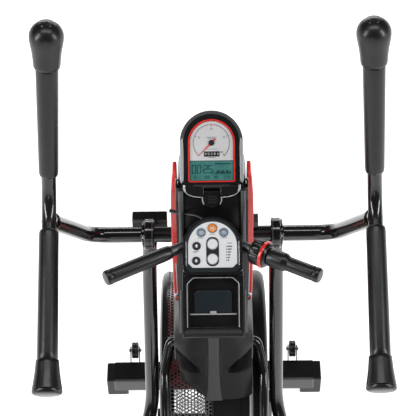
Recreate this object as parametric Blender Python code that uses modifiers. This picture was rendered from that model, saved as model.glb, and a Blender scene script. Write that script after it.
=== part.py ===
"""Standing fan cross-trainer, as separate named solids. Metres, +Z up, +Y away from the user."""

import math

import bmesh
import bpy
from mathutils import Matrix, Vector

# Driving dimensions. Pairs are (y, z) in the machine's middle plane.
LENGTH = 1.245
ARM_PIVOT = (0.300, 1.020)
DRUM = (0.330, 0.370)
CRANK = (0.230, 0.310)
FAN = (0.400, 0.460)
LEG_PIVOT = (-0.020, 0.310)
GAP = 0.0003

DRUM_RADIUS, DRUM_HALF, DRUM_WALL = 0.285, 0.138, 0.004
CRANK_RADIUS = 0.100
PULLEY_RADIUS, FAN_PULLEY_RADIUS, BELT_X = 0.120, 0.028, 0.075
FAN_RADIUS = 0.150
LEG_BACK = 0.360
PEDAL_BACK, PEDAL_LENGTH, PEDAL_X = 0.290, 0.350, (0.062, 0.216)
BAR_RADIUS = 0.0190
HANDLE_TUBE_RADIUS = 0.0165
ROCKER_RADIUS, COLLAR_RADIUS, COLLAR_X = 0.0165, 0.0375, (0.138, 0.161)
HOOP_RADIUS, HOOP_X, HOOP_GAP = 0.0110, 0.130, 0.016
GRIP_BAR_RADIUS = 0.0125
MAST_HALF = (0.020, 0.030)
COVER_HALF = 0.085
HOUSING_HALF = 0.069
CONSOLE_TILT, PANEL_TILT = math.radians(40), math.radians(30)
CONSOLE_AT = (0.0, 0.338, 1.281)
PANEL_AT = (0.0, 0.137, 1.176)

# Handle: a bend, a straight upper branch and a straight lower branch.
HANDLE_BEND = Vector((0.361, 0.208, 1.247))
HANDLE_UP = Vector((-0.058, 0.285, 0.958)).normalized()
HANDLE_DOWN = Vector((-0.010, -0.918, -0.396)).normalized()
UPPER_GRIP = (0.076, 0.341)
LOWER_GRIP, LOWER_END = (0.062, 0.350), 0.427

SIDES = (("left", -1), ("right", 1))

for old in list(bpy.data.objects):
    bpy.data.objects.remove(old, do_unlink=True)
PARTS = bpy.data.collections.new("fan_cross_trainer")
CUTTERS = bpy.data.collections.new("cutters")
for group in (PARTS, CUTTERS):
    bpy.context.scene.collection.children.link(group)


# Materials

def material(name, colour, roughness, metallic=0.0):
    made = bpy.data.materials.new(name)
    made.use_nodes = True
    shader = made.node_tree.nodes["Principled BSDF"]
    shader.inputs["Base Color"].default_value = (*colour, 1)
    shader.inputs["Roughness"].default_value = roughness
    shader.inputs["Metallic"].default_value = metallic
    return made


BLACK_PAINT = material("black_paint", (0.012, 0.012, 0.014), 0.30)
BLACK_PLASTIC = material("black_plastic", (0.02, 0.02, 0.022), 0.45)
FOAM = material("foam_rubber", (0.03, 0.03, 0.033), 0.85)
RED = material("red_plastic", (0.62, 0.02, 0.02), 0.35)
STEEL = material("bright_steel", (0.62, 0.63, 0.65), 0.25, 1.0)
MESH_METAL = material("mesh_metal", (0.35, 0.35, 0.37), 0.35, 1.0)
WHITE = material("white_plastic", (0.80, 0.81, 0.82), 0.4)
ORANGE = material("orange_plastic", (0.80, 0.25, 0.03), 0.4)
BLUE_GREY = material("blue_grey_plastic", (0.18, 0.25, 0.33), 0.4)
GLASS = material("lcd_glass", (0.10, 0.38, 0.36), 0.1)
RUBBER = material("belt_rubber", (0.02, 0.02, 0.02), 0.8)


# Shape helpers

def place(name, data, look, collection=PARTS, location=(0, 0, 0), rotation=None):
    made = bpy.data.objects.new(name, data)
    collection.objects.link(made)
    made.location = location
    if rotation is not None:
        made.rotation_euler = rotation
    if look is None:
        made.hide_render = True
        made.display_type = "WIRE"
    else:
        data.materials.clear()
        data.materials.append(look)
    return made


def turn_to(direction):
    """The rotation that takes +Z to this direction."""
    return Vector(direction).to_track_quat("Z", "Y").to_euler()


def finish_mesh(name, work, look, collection, location, rotation, bevel, segments):
    data = bpy.data.meshes.new(name)
    work.to_mesh(data)
    work.free()
    made = place(name, data, look, collection, location, rotation)
    if bevel:
        rounding = made.modifiers.new("edges", "BEVEL")
        rounding.width = bevel
        rounding.segments = segments
        rounding.limit_method = "ANGLE"
        rounding.angle_limit = math.radians(40)
    return made


def box(name, low, high, look=None, bevel=0.0, segments=2, rotation=None):
    size = Vector(high) - Vector(low)
    work = bmesh.new()
    bmesh.ops.create_cube(work, size=1.0)
    bmesh.ops.scale(work, vec=size, verts=work.verts)
    middle = (Vector(high) + Vector(low)) / 2
    return finish_mesh(name, work, look, PARTS if look else CUTTERS, middle, rotation, bevel, segments)


def rod(name, start, end, radius, look=None, sides=18, bevel=0.0):
    start, end = Vector(start), Vector(end)
    work = bmesh.new()
    bmesh.ops.create_cone(
        work, cap_ends=True, segments=sides, radius1=radius, radius2=radius, depth=(end - start).length
    )
    collection = PARTS if look else CUTTERS
    made = finish_mesh(name, work, look, collection, (start + end) / 2, turn_to(end - start), bevel, 2)
    smooth(made)
    return made


def smooth(made, angle=math.radians(35)):
    made.data.shade_smooth()
    made.data.set_sharp_from_angle(angle=angle)


def turned(name, profile, start, direction, look=None, steps=20):
    """A solid of revolution: profile holds (radius, height) pairs along the direction, from low to high."""
    data = bpy.data.meshes.new(name)
    points = [(radius, 0, height) for radius, height in reversed(profile)]
    data.from_pydata(points, [(i, i + 1) for i in range(len(points) - 1)], [])
    made = place(name, data, look, PARTS if look else CUTTERS, start, turn_to(direction))
    screw = made.modifiers.new("turn", "SCREW")
    screw.steps = screw.render_steps = steps
    screw.use_merge_vertices = True
    screw.merge_threshold = 0.00001
    screw.use_smooth_shade = True
    return made


def sleeve(name, profile, bore, start, direction, look, steps=20):
    """A turned ring: the outer profile from low to high, closed by a plain bore."""
    low, high = profile[0][1], profile[-1][1]
    ring = [(bore, low), *profile, (bore, high), (bore, low)]
    return turned(name, ring, start, direction, look, steps)


def poly_curve(name, points, radius, resolution=2):
    data = bpy.data.curves.new(name, "CURVE")
    data.dimensions = "3D"
    spline = data.splines.new("POLY")
    spline.points.add(len(points) - 1)
    for place_of, point in zip(spline.points, points):
        place_of.co = (*point, 1)
        place_of.radius = 1
    spline.use_smooth = True
    data.bevel_depth = radius
    data.bevel_resolution = resolution
    data.use_fill_caps = True
    return data


def bent(points, radius, steps=4):
    """The path through these corners, each inner corner replaced by a curve that starts radius away."""
    path = [Vector(points[0])]
    for before, corner, after in zip(points, points[1:], points[2:]):
        corner = Vector(corner)
        start = corner + (Vector(before) - corner).normalized() * radius
        end = corner + (Vector(after) - corner).normalized() * radius
        for i in range(steps + 1):
            t = i / steps
            path.append(start * (1 - t) ** 2 + corner * 2 * t * (1 - t) + end * t**2)
    path.append(Vector(points[-1]))
    return path


def tube(name, path, radius, look=None, resolution=2):
    """A round tube along the path, as a welded mesh so that it can be cut and joined."""
    data = poly_curve(name, path, radius, resolution)
    return as_mesh(place(name + "_curve", data, None, CUTTERS), name, look)


def as_mesh(curve, name, look):
    bpy.context.view_layer.update()
    graph = bpy.context.evaluated_depsgraph_get()
    data = bpy.data.meshes.new_from_object(curve.evaluated_get(graph))
    work = bmesh.new()
    work.from_mesh(data)
    bmesh.ops.remove_doubles(work, verts=work.verts, dist=0.00001)
    bmesh.ops.recalc_face_normals(work, faces=work.faces)
    work.to_mesh(data)
    work.free()
    made = place(name, data, look, PARTS if look else CUTTERS)
    made.matrix_world = curve.matrix_world.copy()
    bpy.data.objects.remove(curve, do_unlink=True)
    smooth(made)
    return made


def outline_curve(name, outlines, thickness):
    data = bpy.data.curves.new(name, "CURVE")
    data.dimensions = "2D"
    data.fill_mode = "BOTH"
    data.extrude = thickness / 2
    for outline in outlines:
        spline = data.splines.new("POLY")
        spline.points.add(len(outline) - 1)
        for point, (u, v) in zip(spline.points, outline):
            point.co = (u, v, 0, 1)
        spline.use_cyclic_u = True
    return data


def plate(name, outlines, thickness, location, tilt, look=None):
    """A flat plate in a plane turned about X by tilt. Of its outlines, the first is the outer one."""
    data = outline_curve(name, outlines, thickness)
    curve = place(name + "_curve", data, None, CUTTERS, location, (tilt, 0, 0))
    return as_mesh(curve, name, look)


def side_plate(name, outlines, x_low, x_high, look=None):
    """A plate whose outline is in the (y, z) plane, from x_low to x_high."""
    data = outline_curve(name, outlines, x_high - x_low)
    curve = place(name + "_curve", data, None, CUTTERS, ((x_low + x_high) / 2, 0, 0))
    curve.rotation_euler = (math.radians(90), 0, math.radians(90))
    return as_mesh(curve, name, look)


def boolean(target, tool, operation):
    step = target.modifiers.new(operation.lower(), "BOOLEAN")
    step.operation = operation
    step.solver = "EXACT"
    step.object = tool
    tool.hide_render = True
    tool.display_type = "WIRE"
    return target


def cut(target, *tools):
    for tool in tools:
        boolean(target, tool, "DIFFERENCE")
    return target


def join(target, *tools):
    for tool in tools:
        boolean(target, tool, "UNION")
    return target


def soften(target, width, segments=2, angle=40):
    weld = target.modifiers.new("weld", "WELD")
    weld.merge_threshold = 0.00002
    rounding = target.modifiers.new("edges", "BEVEL")
    rounding.width = width
    rounding.segments = segments
    rounding.limit_method = "ANGLE"
    rounding.angle_limit = math.radians(angle)
    return target


def arc(centre, radius, start, end, steps=10):
    """Points on an arc, in degrees, as (u, v) pairs."""
    angles = [math.radians(start + (end - start) * i / steps) for i in range(steps + 1)]
    return [(centre[0] + radius * math.cos(a), centre[1] + radius * math.sin(a)) for a in angles]


def circle(centre, radius, steps=16):
    return arc(centre, radius, 0, 360 * (steps - 1) / steps, steps - 1)


def arch(half, centre_v, bottom, chamfer=0.0, steps=16):
    """A window shape: a half circle over straight sides and a flat foot with cut corners."""
    top = arc((0, centre_v), half, 0, 180, steps)
    if chamfer:
        foot = [(-half, bottom + chamfer), (-half + chamfer, bottom), (half - chamfer, bottom)]
        return [*top, *foot, (half, bottom + chamfer)]
    return [*top, (-half, bottom), (half, bottom)]


def stadium(first, second, r_first, r_second, steps=7):
    """The outline round two circles and the straight sides between them."""
    heading = math.degrees(math.atan2(second[1] - first[1], second[0] - first[0]))
    touch = math.degrees(math.acos((r_first - r_second) / math.dist(first, second)))
    return [
        *arc(first, r_first, heading + touch, heading + 360 - touch, steps),
        *arc(second, r_second, heading - touch, heading + touch, steps),
    ]


def in_plane(tilt, centre, u, v, w):
    """The world point at (u, v) in a plane turned about X by tilt, w above it."""
    return Vector(centre) + Matrix.Rotation(tilt, 3, "X") @ Vector((u, v, w))


def joint_empty(name, at):
    made = bpy.data.objects.new(name, None)
    made.location = at
    made.empty_display_size = 0.05
    PARTS.objects.link(made)
    return made


def hang(empty, *pieces):
    """Parents the pieces to an empty on their joint's axis and leaves them where they are."""
    for piece in pieces:
        piece.parent = empty
        piece.matrix_parent_inverse = Matrix.Translation(-Vector(empty.location))


# Base and frame

STABILISER_Z = (0.022, 0.078)
FRONT_Y, REAR_Y = (0.502, 0.572), (-LENGTH / 2, -0.557)
FRONT_HALF, REAR_HALF = 0.300, 0.250
RAIL_HALF, RAIL_Z = 0.030, (0.026, 0.074)
TUBE_WALL = 0.003
WHEEL_AT, WHEEL_RADIUS, WHEEL_X = (LENGTH / 2 - 0.0245, 0.098), 0.0245, 0.236


def hollow_bar(name, low, high, axis, wall, look):
    """A rectangular tube, open at both ends of the given axis."""
    made = box(name, low, high, look, 0.006)
    inner_low = [v + wall for v in low]
    inner_high = [v - wall for v in high]
    inner_low[axis], inner_high[axis] = low[axis] - 0.01, high[axis] + 0.01
    return cut(made, box(name + "_bore", inner_low, inner_high))


def stabiliser(name, y, half):
    low, high = (-half, y[0], STABILISER_Z[0]), (half, y[1], STABILISER_Z[1])
    return hollow_bar(name, low, high, 0, TUBE_WALL, BLACK_PAINT)


def end_caps(prefix, y, half):
    """A cap on each end, with a foot pad down to the floor."""
    for side, sign in SIDES:
        inner, outer = half + GAP, half + 0.020
        x = sorted((sign * inner, sign * outer))
        low, high = (x[0], y[0], STABILISER_Z[0]), (x[1], y[1], STABILISER_Z[1])
        cap = box(f"{prefix}_cap_{side}", low, high, BLACK_PLASTIC, 0.006)
        foot_x = sorted((sign * (inner - 0.040), sign * (outer - 0.004)))
        foot = box(f"{prefix}_foot_{side}", (foot_x[0], y[0] + 0.008, 0), (foot_x[1], y[1] - 0.008, 0.0215))
        low, high = (x[0] + 0.003, y[0] + 0.010, 0.010), (x[1] - 0.003, y[1] - 0.010, 0.030)
        neck = box(f"{prefix}_neck_{side}", low, high)
        join(cap, join(foot, neck))


def make_base():
    front = stabiliser("front_stabiliser", FRONT_Y, FRONT_HALF)
    for side, sign in SIDES:
        for offset in (-0.013, 0.013):
            x = sign * WHEEL_X + offset
            outline = stadium((FRONT_Y[1] - 0.012, 0.060), WHEEL_AT, 0.016, 0.012)
            ear = side_plate(f"wheel_ear_{side}_{offset > 0}", [outline], x - 0.0015, x + 0.0015)
            pin = rod(f"wheel_hole_{side}_{offset > 0}", (x - 0.01, *WHEEL_AT), (x + 0.01, *WHEEL_AT), 0.0044)
            join(front, cut(ear, pin))
    stabiliser("rear_stabiliser", REAR_Y, REAR_HALF)
    end_caps("front", FRONT_Y, FRONT_HALF)
    end_caps("rear", REAR_Y, REAR_HALF)
    low, high = (-RAIL_HALF, REAR_Y[1] + GAP, RAIL_Z[0]), (RAIL_HALF, FRONT_Y[0] - GAP, RAIL_Z[1])
    hollow_bar("base_rail", low, high, 1, TUBE_WALL, BLACK_PAINT)


def make_wheels():
    """Transport wheels on their own axle bolts."""
    for side, sign in SIDES:
        x, (y, z) = sign * WHEEL_X, WHEEL_AT
        profile = [(0.0, -0.018), (0.004, -0.018), (0.004, -0.0095), (WHEEL_RADIUS - 0.002, -0.0095),
                   (WHEEL_RADIUS, -0.0070), (WHEEL_RADIUS, 0.0070), (WHEEL_RADIUS - 0.002, 0.0095),
                   (0.004, 0.0095), (0.004, 0.018), (0.0, 0.018)]
        wheel = turned(f"transport_wheel_{side}", profile, (x, y, z), (1, 0, 0), BLACK_PLASTIC)
        hang(joint_empty(f"wheel_axis_{side}", (x, y, z)), wheel)


def cross_rod(name, at, radius, half):
    """A tool rod across the machine, centred on the middle plane."""
    return rod(name, (-half, *at), (half, *at), radius)


def make_mast():
    """The mast tube with the crank and fan bearing shells welded to it by gussets."""
    half_x, half_y = MAST_HALF
    y = ARM_PIVOT[0]
    mast = box("mast_tube", (-half_x, y - half_y, RAIL_Z[1] + GAP), (half_x, y + half_y, 1.165), BLACK_PAINT)
    inner_x, inner_y = half_x - TUBE_WALL, half_y - TUBE_WALL
    hollow = box("mast_bore", (-inner_x, y - inner_y, 0), (inner_x, y + inner_y, 1.30))
    cut(mast, hollow)
    for name, at in (("crank", CRANK), ("fan", FAN)):
        gusset = side_plate(f"{name}_gusset", [stadium((y, at[1]), at, 0.024, 0.018)], -0.010, 0.010)
        shell = cross_rod(f"{name}_shell", at, 0.026, 0.019)
        join(mast, join(gusset, shell))
    cut(mast, cross_rod("crank_bore", CRANK, 0.0130, 0.05), cross_rod("fan_bore", FAN, 0.0085, 0.05),
        cross_rod("axle_bore", ARM_PIVOT, BAR_RADIUS + GAP, 0.05))


def make_pivot_axle():
    rod("pivot_axle", (-0.1612, *ARM_PIVOT), (0.1612, *ARM_PIVOT), BAR_RADIUS, BLACK_PAINT, 20)


def make_hoops():
    """Bent tubes from the mast cover round the user's side of the drum, down to the base rail."""
    round_drum = [(HOOP_X, *p) for p in arc(DRUM, DRUM_RADIUS + HOOP_GAP, 122, 232, 11)]
    top = [(0.0868, 0.215, 0.697), (0.108, 0.215, 0.697), round_drum[0]]
    foot = [round_drum[-1], (HOOP_X, 0.196, 0.078), (0.070, 0.205, 0.052), (0.0305, 0.205, 0.052)]
    path = bent(top, 0.012, 3)[:-1] + [Vector(p) for p in round_drum[:-1]] + bent(foot, 0.020, 3)
    for side, sign in SIDES:
        tube(f"hoop_tube_{side}", [sided(p, sign) for p in path], HOOP_RADIUS, BLACK_PAINT)


# Fan drum and drive

def drum_half(name, sign, look):
    """Half of the drum as a cup that opens at the middle plane, with holes for the axle and the mast."""
    r, h, w = DRUM_RADIUS, DRUM_HALF, DRUM_WALL
    outer = [(0.0, h), (r - 0.020, h), (r - 0.006, h - 0.006), (r, h - 0.020), (r, GAP / 2)]
    inner = [(r - w, GAP / 2), (r - w, h - 0.022), (r - 0.009, h - 0.010), (r - 0.022, h - w), (0.0, h - w)]
    made = turned(name, list(reversed([*outer, *inner])), (0, *DRUM), (sign, 0, 0), look, 36)
    y = ARM_PIVOT[0]
    slot = box(name + "_mast_slot", (-0.021, y - 0.031, -0.1), (0.021, y + 0.031, 1.0))
    hole = cross_rod(name + "_axle_hole", CRANK, 0.020, 0.3)
    return cut(made, slot, hole)


def make_fan():
    """A back disc, a hub and blades, joined to one wheel, with its pulley on a long axle."""
    y, z = FAN
    wheel = rod("fan_wheel", (-0.128, y, z), (-0.026, y, z), 0.030, RED, 32)
    disc = rod("fan_disc", (-0.030, y, z), (-0.026, y, z), FAN_RADIUS, None, 40)
    work = bmesh.new()
    blades = 14
    for i in range(blades):
        made = bmesh.ops.create_cube(work, size=1.0)["verts"]
        bmesh.ops.scale(work, vec=(0.096, 0.122, 0.003), verts=made)
        bmesh.ops.rotate(work, matrix=Matrix.Rotation(math.radians(18), 3, "X"), verts=made)
        bmesh.ops.translate(work, vec=(-0.0765, 0.085, 0), verts=made)
        bmesh.ops.rotate(work, matrix=Matrix.Rotation(2 * math.pi * i / blades, 3, "X"), verts=made)
    vanes = finish_mesh("fan_blades", work, None, CUTTERS, (0, y, z), None, 0, 1)
    join(wheel, disc, vanes)
    cut(wheel, rod("fan_wheel_bore", (-0.2, y, z), (0.1, y, z), 0.0083))
    axle = rod("fan_axle", (-0.126, y, z), (0.095, y, z), 0.008, STEEL)
    grooved = rod("fan_pulley_body", (BELT_X - 0.012, y, z), (BELT_X + 0.012, y, z), FAN_PULLEY_RADIUS)
    join(axle, grooved)
    hang(joint_empty("fan_axis", (0, y, z)), wheel, axle)


def make_drive_pulley():
    y, z = CRANK
    low, high = (BELT_X - 0.009, y, z), (BELT_X + 0.009, y, z)
    pulley = rod("drive_pulley", low, high, PULLEY_RADIUS, BLACK_PLASTIC, 32)
    work = bmesh.new()
    for i in range(6):
        made = bmesh.ops.create_cone(
            work, cap_ends=True, segments=10, radius1=0.026, radius2=0.026, depth=0.1
        )["verts"]
        bmesh.ops.rotate(work, matrix=Matrix.Rotation(math.pi / 2, 3, "Y"), verts=made)
        bmesh.ops.translate(work, vec=(0, 0.072, 0), verts=made)
        bmesh.ops.rotate(work, matrix=Matrix.Rotation(math.pi * i / 3, 3, "X"), verts=made)
    windows = finish_mesh("pulley_windows", work, None, CUTTERS, (BELT_X, y, z), None, 0, 1)
    return cut(pulley, windows, rod("pulley_bore", (0, y, z), (0.2, y, z), 0.0128))


def make_belt():
    def loop(grow):
        return stadium(CRANK, FAN, PULLEY_RADIUS + grow, FAN_PULLEY_RADIUS + grow, 16)
    side_plate("drive_belt", [loop(0.0045), loop(0.0014)], BELT_X - 0.007, BELT_X + 0.007, RUBBER)


CRANK_ARM_X = (0.1445, 0.1545)
LEG_X = (0.1570, 0.1750)
LEG_FRONT = math.dist(LEG_PIVOT, (CRANK[0], CRANK[1] + CRANK_RADIUS))


def side_span(sign, span):
    return sorted((sign * span[0], sign * span[1]))


def make_crank():
    axle = rod("crank_axle", (-CRANK_ARM_X[0] + GAP, *CRANK), (CRANK_ARM_X[0] - GAP, *CRANK), 0.0125, STEEL)
    empty = joint_empty("crank_axis", (0, *CRANK))
    pieces = [axle, make_drive_pulley()]
    for side, sign in SIDES:
        pin = (CRANK[0], CRANK[1] + sign * CRANK_RADIUS)
        arm = side_plate(f"crank_arm_{side}", [stadium(CRANK, pin, 0.026, 0.020)],
                         *side_span(sign, CRANK_ARM_X), BLACK_PAINT)
        x = side_span(sign, (CRANK_ARM_X[0] + 0.002, CRANK_ARM_X[1] + 0.0015))
        join(arm, rod(f"crank_pin_{side}", (x[0], *pin), (x[1], *pin), 0.013))
        pieces.append(arm)
    hang(empty, *pieces)


def make_leg(side, sign):
    """A straight leg bar from the crank pin, past the rocker pivot, to the pedal."""
    rise = sign * CRANK_RADIUS / LEG_FRONT
    run = math.sqrt(1 - rise**2)
    pin = (LEG_PIVOT[0] + LEG_FRONT * run, LEG_PIVOT[1] + LEG_FRONT * rise)
    back = (LEG_PIVOT[0] - LEG_BACK * run, LEG_PIVOT[1] - LEG_BACK * rise)
    outline = stadium(back, pin, 0.022, 0.027)
    leg = side_plate(f"leg_{side}", [outline], *side_span(sign, LEG_X), BLACK_PAINT)
    x = side_span(sign, (LEG_X[0] + 0.004, 0.2095))
    join(leg, rod(f"leg_stub_{side}", (x[0], *LEG_PIVOT), (x[1], *LEG_PIVOT), 0.012))
    along = Matrix.Rotation(math.atan2(rise, run), 3, "X")
    rear_end = Vector((0, *LEG_PIVOT)) + along @ Vector((0, -PEDAL_BACK, 0))
    x_low, x_high = side_span(sign, PEDAL_X)
    rise_to_tread = 0.0365
    work = bmesh.new()
    bmesh.ops.create_cube(work, size=1.0)
    bmesh.ops.scale(work, vec=(x_high - x_low, PEDAL_LENGTH, 0.022), verts=work.verts)
    middle = rear_end + Vector(((x_low + x_high) / 2, 0, 0)) + along @ Vector((0, 0, rise_to_tread))
    pedal = finish_mesh(f"pedal_{side}", work, BLACK_PLASTIC, PARTS, middle, along.to_euler(), 0.010, 2)
    for name, size, offset in (
        ("toe_rim", (x_high - x_low - 0.012, 0.016, 0.034), (0, PEDAL_LENGTH / 2 - 0.016, 0.014)),
        ("saddle", (0.046, 0.180, 0.030), (sign * sum(LEG_X) / 2 - (x_low + x_high) / 2, 0.020, -0.018)),
    ):
        tool = box(f"pedal_{name}_{side}", (0, 0, 0), size)
        tool.location = middle + along @ Vector(offset)
        tool.rotation_euler = along.to_euler()
        join(pedal, tool)
    clearance = side_plate(f"leg_clearance_{side}", [stadium(back, pin, 0.0225, 0.0275)],
                           *side_span(sign, (LEG_X[0] - 0.0005, LEG_X[1] + 0.0005)))
    cut(pedal, clearance)
    hang(joint_empty(f"leg_axis_{side}", (sign * LEG_X[1], *LEG_PIVOT)), leg, pedal)


# Swing arms

def sided(point, sign):
    return Vector((sign * point[0], point[1], point[2]))


def make_swing_arm(side, sign):
    """Collar, rocker, handlebar, grips and knob about the pivot axle; the left one has a clamp block."""
    y, z = ARM_PIVOT
    path = bent([(0.150, y, z - 0.028), (0.1545, 0.290, 0.900), (0.160, 0.160, 0.500), (0.1945, 0.060, 0.400),
                 (0.1945, *LEG_PIVOT)], 0.040)
    rocker = tube(f"rocker_arm_{side}", [sided(p, sign) for p in path], ROCKER_RADIUS, BLACK_PAINT)
    x = side_span(sign, COLLAR_X)
    join(rocker, rod(f"collar_{side}", (x[0], y, z), (x[1], y, z), COLLAR_RADIUS, None, 32))
    x = side_span(sign, (0.1775, 0.2085))
    join(rocker, rod(f"rocker_eye_{side}", (x[0], *LEG_PIVOT), (x[1], *LEG_PIVOT), 0.027, None, 24))
    x = side_span(sign, (0.1, 0.25))
    cut(rocker, rod(f"eye_bore_{side}", (x[0], *LEG_PIVOT), (x[1], *LEG_PIVOT), 0.0124),
        rod(f"collar_bore_{side}", (x[0], y, z), (x[1], y, z), BAR_RADIUS + 2 * GAP, None, 20))

    weld_at = HANDLE_BEND + HANDLE_DOWN * 0.040
    path = bent([(0.1618, y, z), (0.290, y, z), weld_at], 0.055, 5)
    bar = tube(f"handlebar_{side}", [sided(p, sign) for p in path], BAR_RADIUS, BLACK_PAINT)
    low = HANDLE_BEND + HANDLE_DOWN * (LOWER_END - 0.0086)
    high = HANDLE_BEND + HANDLE_UP * (UPPER_GRIP[1] + 0.040)
    stem_path = bent([low, HANDLE_BEND, high], 0.045, 4)
    stem = tube(f"handle_stem_{side}", [sided(p, sign) for p in stem_path], HANDLE_TUBE_RADIUS)
    join(bar, stem)

    blocks = []
    if side == "left":
        block = box("clamp_block_left", (-0.192, y + 0.0225, z - 0.028), (-0.108, y + 0.062, z + 0.014),
                    BLACK_PLASTIC, 0.003)
        cut(block, rod("block_relief", (-0.3, y, z), (0.3, y, z), COLLAR_RADIUS + 0.0007, None, 32))
        blocks.append(block)

    bend, up, down = sided(HANDLE_BEND, sign), sided(HANDLE_UP, sign), sided(HANDLE_DOWN, sign)
    bore = HANDLE_TUBE_RADIUS + GAP
    s0, s1 = UPPER_GRIP
    profile = [(0.0205, s0), (0.0225, s0 + 0.004), (0.0240, s1 - 0.004), (0.0240, s1 - GAP)]
    upper = sleeve(f"upper_grip_{side}", profile, bore, bend, up, FOAM)
    profile = [(0.0, s1 + 0.041), (bore, s1 + 0.041), (bore, s1), (0.0280, s1), (0.0320, s1 + 0.040),
               (0.0365, s1 + 0.066), (0.0355, s1 + 0.084), (0.0270, s1 + 0.099), (0.0, s1 + 0.107)]
    knob = turned(f"top_knob_{side}", profile, bend, up, FOAM)
    s0, s1 = LOWER_GRIP
    end = LOWER_END
    profile = [(bore, s0), (0.0205, s0), (0.0225, s0 + 0.004), (0.0225, s1 - 0.006), (0.0255, s1),
               (0.0330, end - 0.014), (0.0330, end - 0.006), (0.0270, end), (0.0, end), (0.0, end - 0.005),
               (bore, end - 0.005), (bore, s0)]
    lower = turned(f"lower_grip_{side}", profile, bend, down, FOAM)
    hang(joint_empty(f"arm_axis_{side}", (0, y, z)), rocker, bar, *blocks, upper, knob, lower)


# Mast covers, housing and console

REAR_LINE = [(0.125, 0.584), (0.150, 0.720), (0.165, 0.880), (0.195, 1.060), (0.240, 1.195)]
SPLIT_Y = 0.300


def mirrored_cover(name, outline, opening):
    """A cover shell: an outline in the (y, z) plane, hollowed by the opening outline."""
    made = side_plate(name, [outline], -COVER_HALF, COVER_HALF, BLACK_PLASTIC)
    inner = side_plate(name + "_hollow", [opening], -COVER_HALF + 0.004, COVER_HALF - 0.004)
    axle = cross_rod(name + "_axle_hole", ARM_PIVOT, BAR_RADIUS + 0.0006, 0.2)
    half_x, half_y = MAST_HALF
    slot_x, slot_y = half_x + 0.001, half_y + 0.001
    slot = box(name + "_slot", (-slot_x, SPLIT_Y - slot_y, 0.6), (slot_x, SPLIT_Y + slot_y, 0.7))
    return cut(made, inner, axle, slot)


def make_mast_covers():
    saddle = arc(DRUM, DRUM_RADIUS + 0.0015, 136, 97, 8)
    rear = [*saddle, (SPLIT_Y - GAP, 0.668), (SPLIT_Y - GAP, 1.183), (0.266, 1.220), *reversed(REAR_LINE[1:])]
    inner_saddle = arc(DRUM, DRUM_RADIUS + 0.0055, 133, 97, 8)
    opening = [*inner_saddle, (SPLIT_Y + 0.01, 0.672), (SPLIT_Y + 0.01, 1.170), (0.266, 1.213),
               *[(y + 0.005, z - 0.001) for y, z in reversed(REAR_LINE[1:])]]
    mirrored_cover("mast_rear_cover", rear, opening)
    saddle = arc(DRUM, DRUM_RADIUS + 0.0015, 95, 84, 4)
    front = [(SPLIT_Y + GAP, 0.668), *saddle[1:], (0.385, 0.900), (0.400, 1.100), (0.405, 1.200),
             (0.400, 1.266), (SPLIT_Y + GAP, 1.182)]
    opening = [(SPLIT_Y - 0.01, 0.674), (0.350, 0.674), (0.380, 0.900), (0.395, 1.100), (0.400, 1.200),
               (0.395, 1.257), (SPLIT_Y - 0.01, 1.170)]
    mirrored_cover("mast_front_cover", front, opening)


def make_trims():
    """The red strips along both sides of the mast, with a slot round the pivot axle."""
    outline = [(0.318, 1.262), (0.352, 1.262), (0.350, 1.150), (0.330, 1.020), (0.322, 0.900), (0.305, 0.790),
               (0.292, 0.772), (0.280, 0.785), (0.275, 0.900), (0.270, 1.020), (0.290, 1.150)]
    for side, sign in SIDES:
        x = side_span(sign, (COVER_HALF + GAP, COVER_HALF + 0.010))
        trim = side_plate(f"red_trim_{side}", [outline], *x, RED)
        cut(trim, cross_rod(f"trim_hole_{side}", ARM_PIVOT, BAR_RADIUS + 0.0006, 0.2))


BUTTONS = (
    ("start_button", (0.000, 0.0397), 0.0095, ORANGE),
    ("left_function_button", (-0.0250, 0.0300), 0.0088, BLUE_GREY),
    ("right_function_button", (0.0250, 0.0300), 0.0088, BLUE_GREY),
    ("upper_select_button", (0.000, 0.0040), 0.0112, WHITE),
    ("lower_select_button", (0.000, -0.0295), 0.0112, WHITE),
    ("up_button", (-0.0355, 0.0000), 0.0082, BLACK_PLASTIC),
    ("down_button", (-0.0365, -0.0330), 0.0082, BLACK_PLASTIC),
)
BUTTON_TRAVEL = 0.0015
PANEL_W = 0.0105
TRAY_FROM, TRAY_TO = (0.075, 1.142), (-0.020, 1.047)
GRIP_BAR_BEND, GRIP_BAR_END = Vector((0.060, 0.150, 1.165)), Vector((0.229, 0.048, 1.184))
GRIP_BAR_ALONG = (GRIP_BAR_END - GRIP_BAR_BEND).normalized()


def grip_bar_path():
    right = bent([(0, *GRIP_BAR_BEND[1:]), GRIP_BAR_BEND, GRIP_BAR_END], 0.020, 4)
    return [sided(p, -1) for p in reversed(right[1:])] + right


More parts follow.
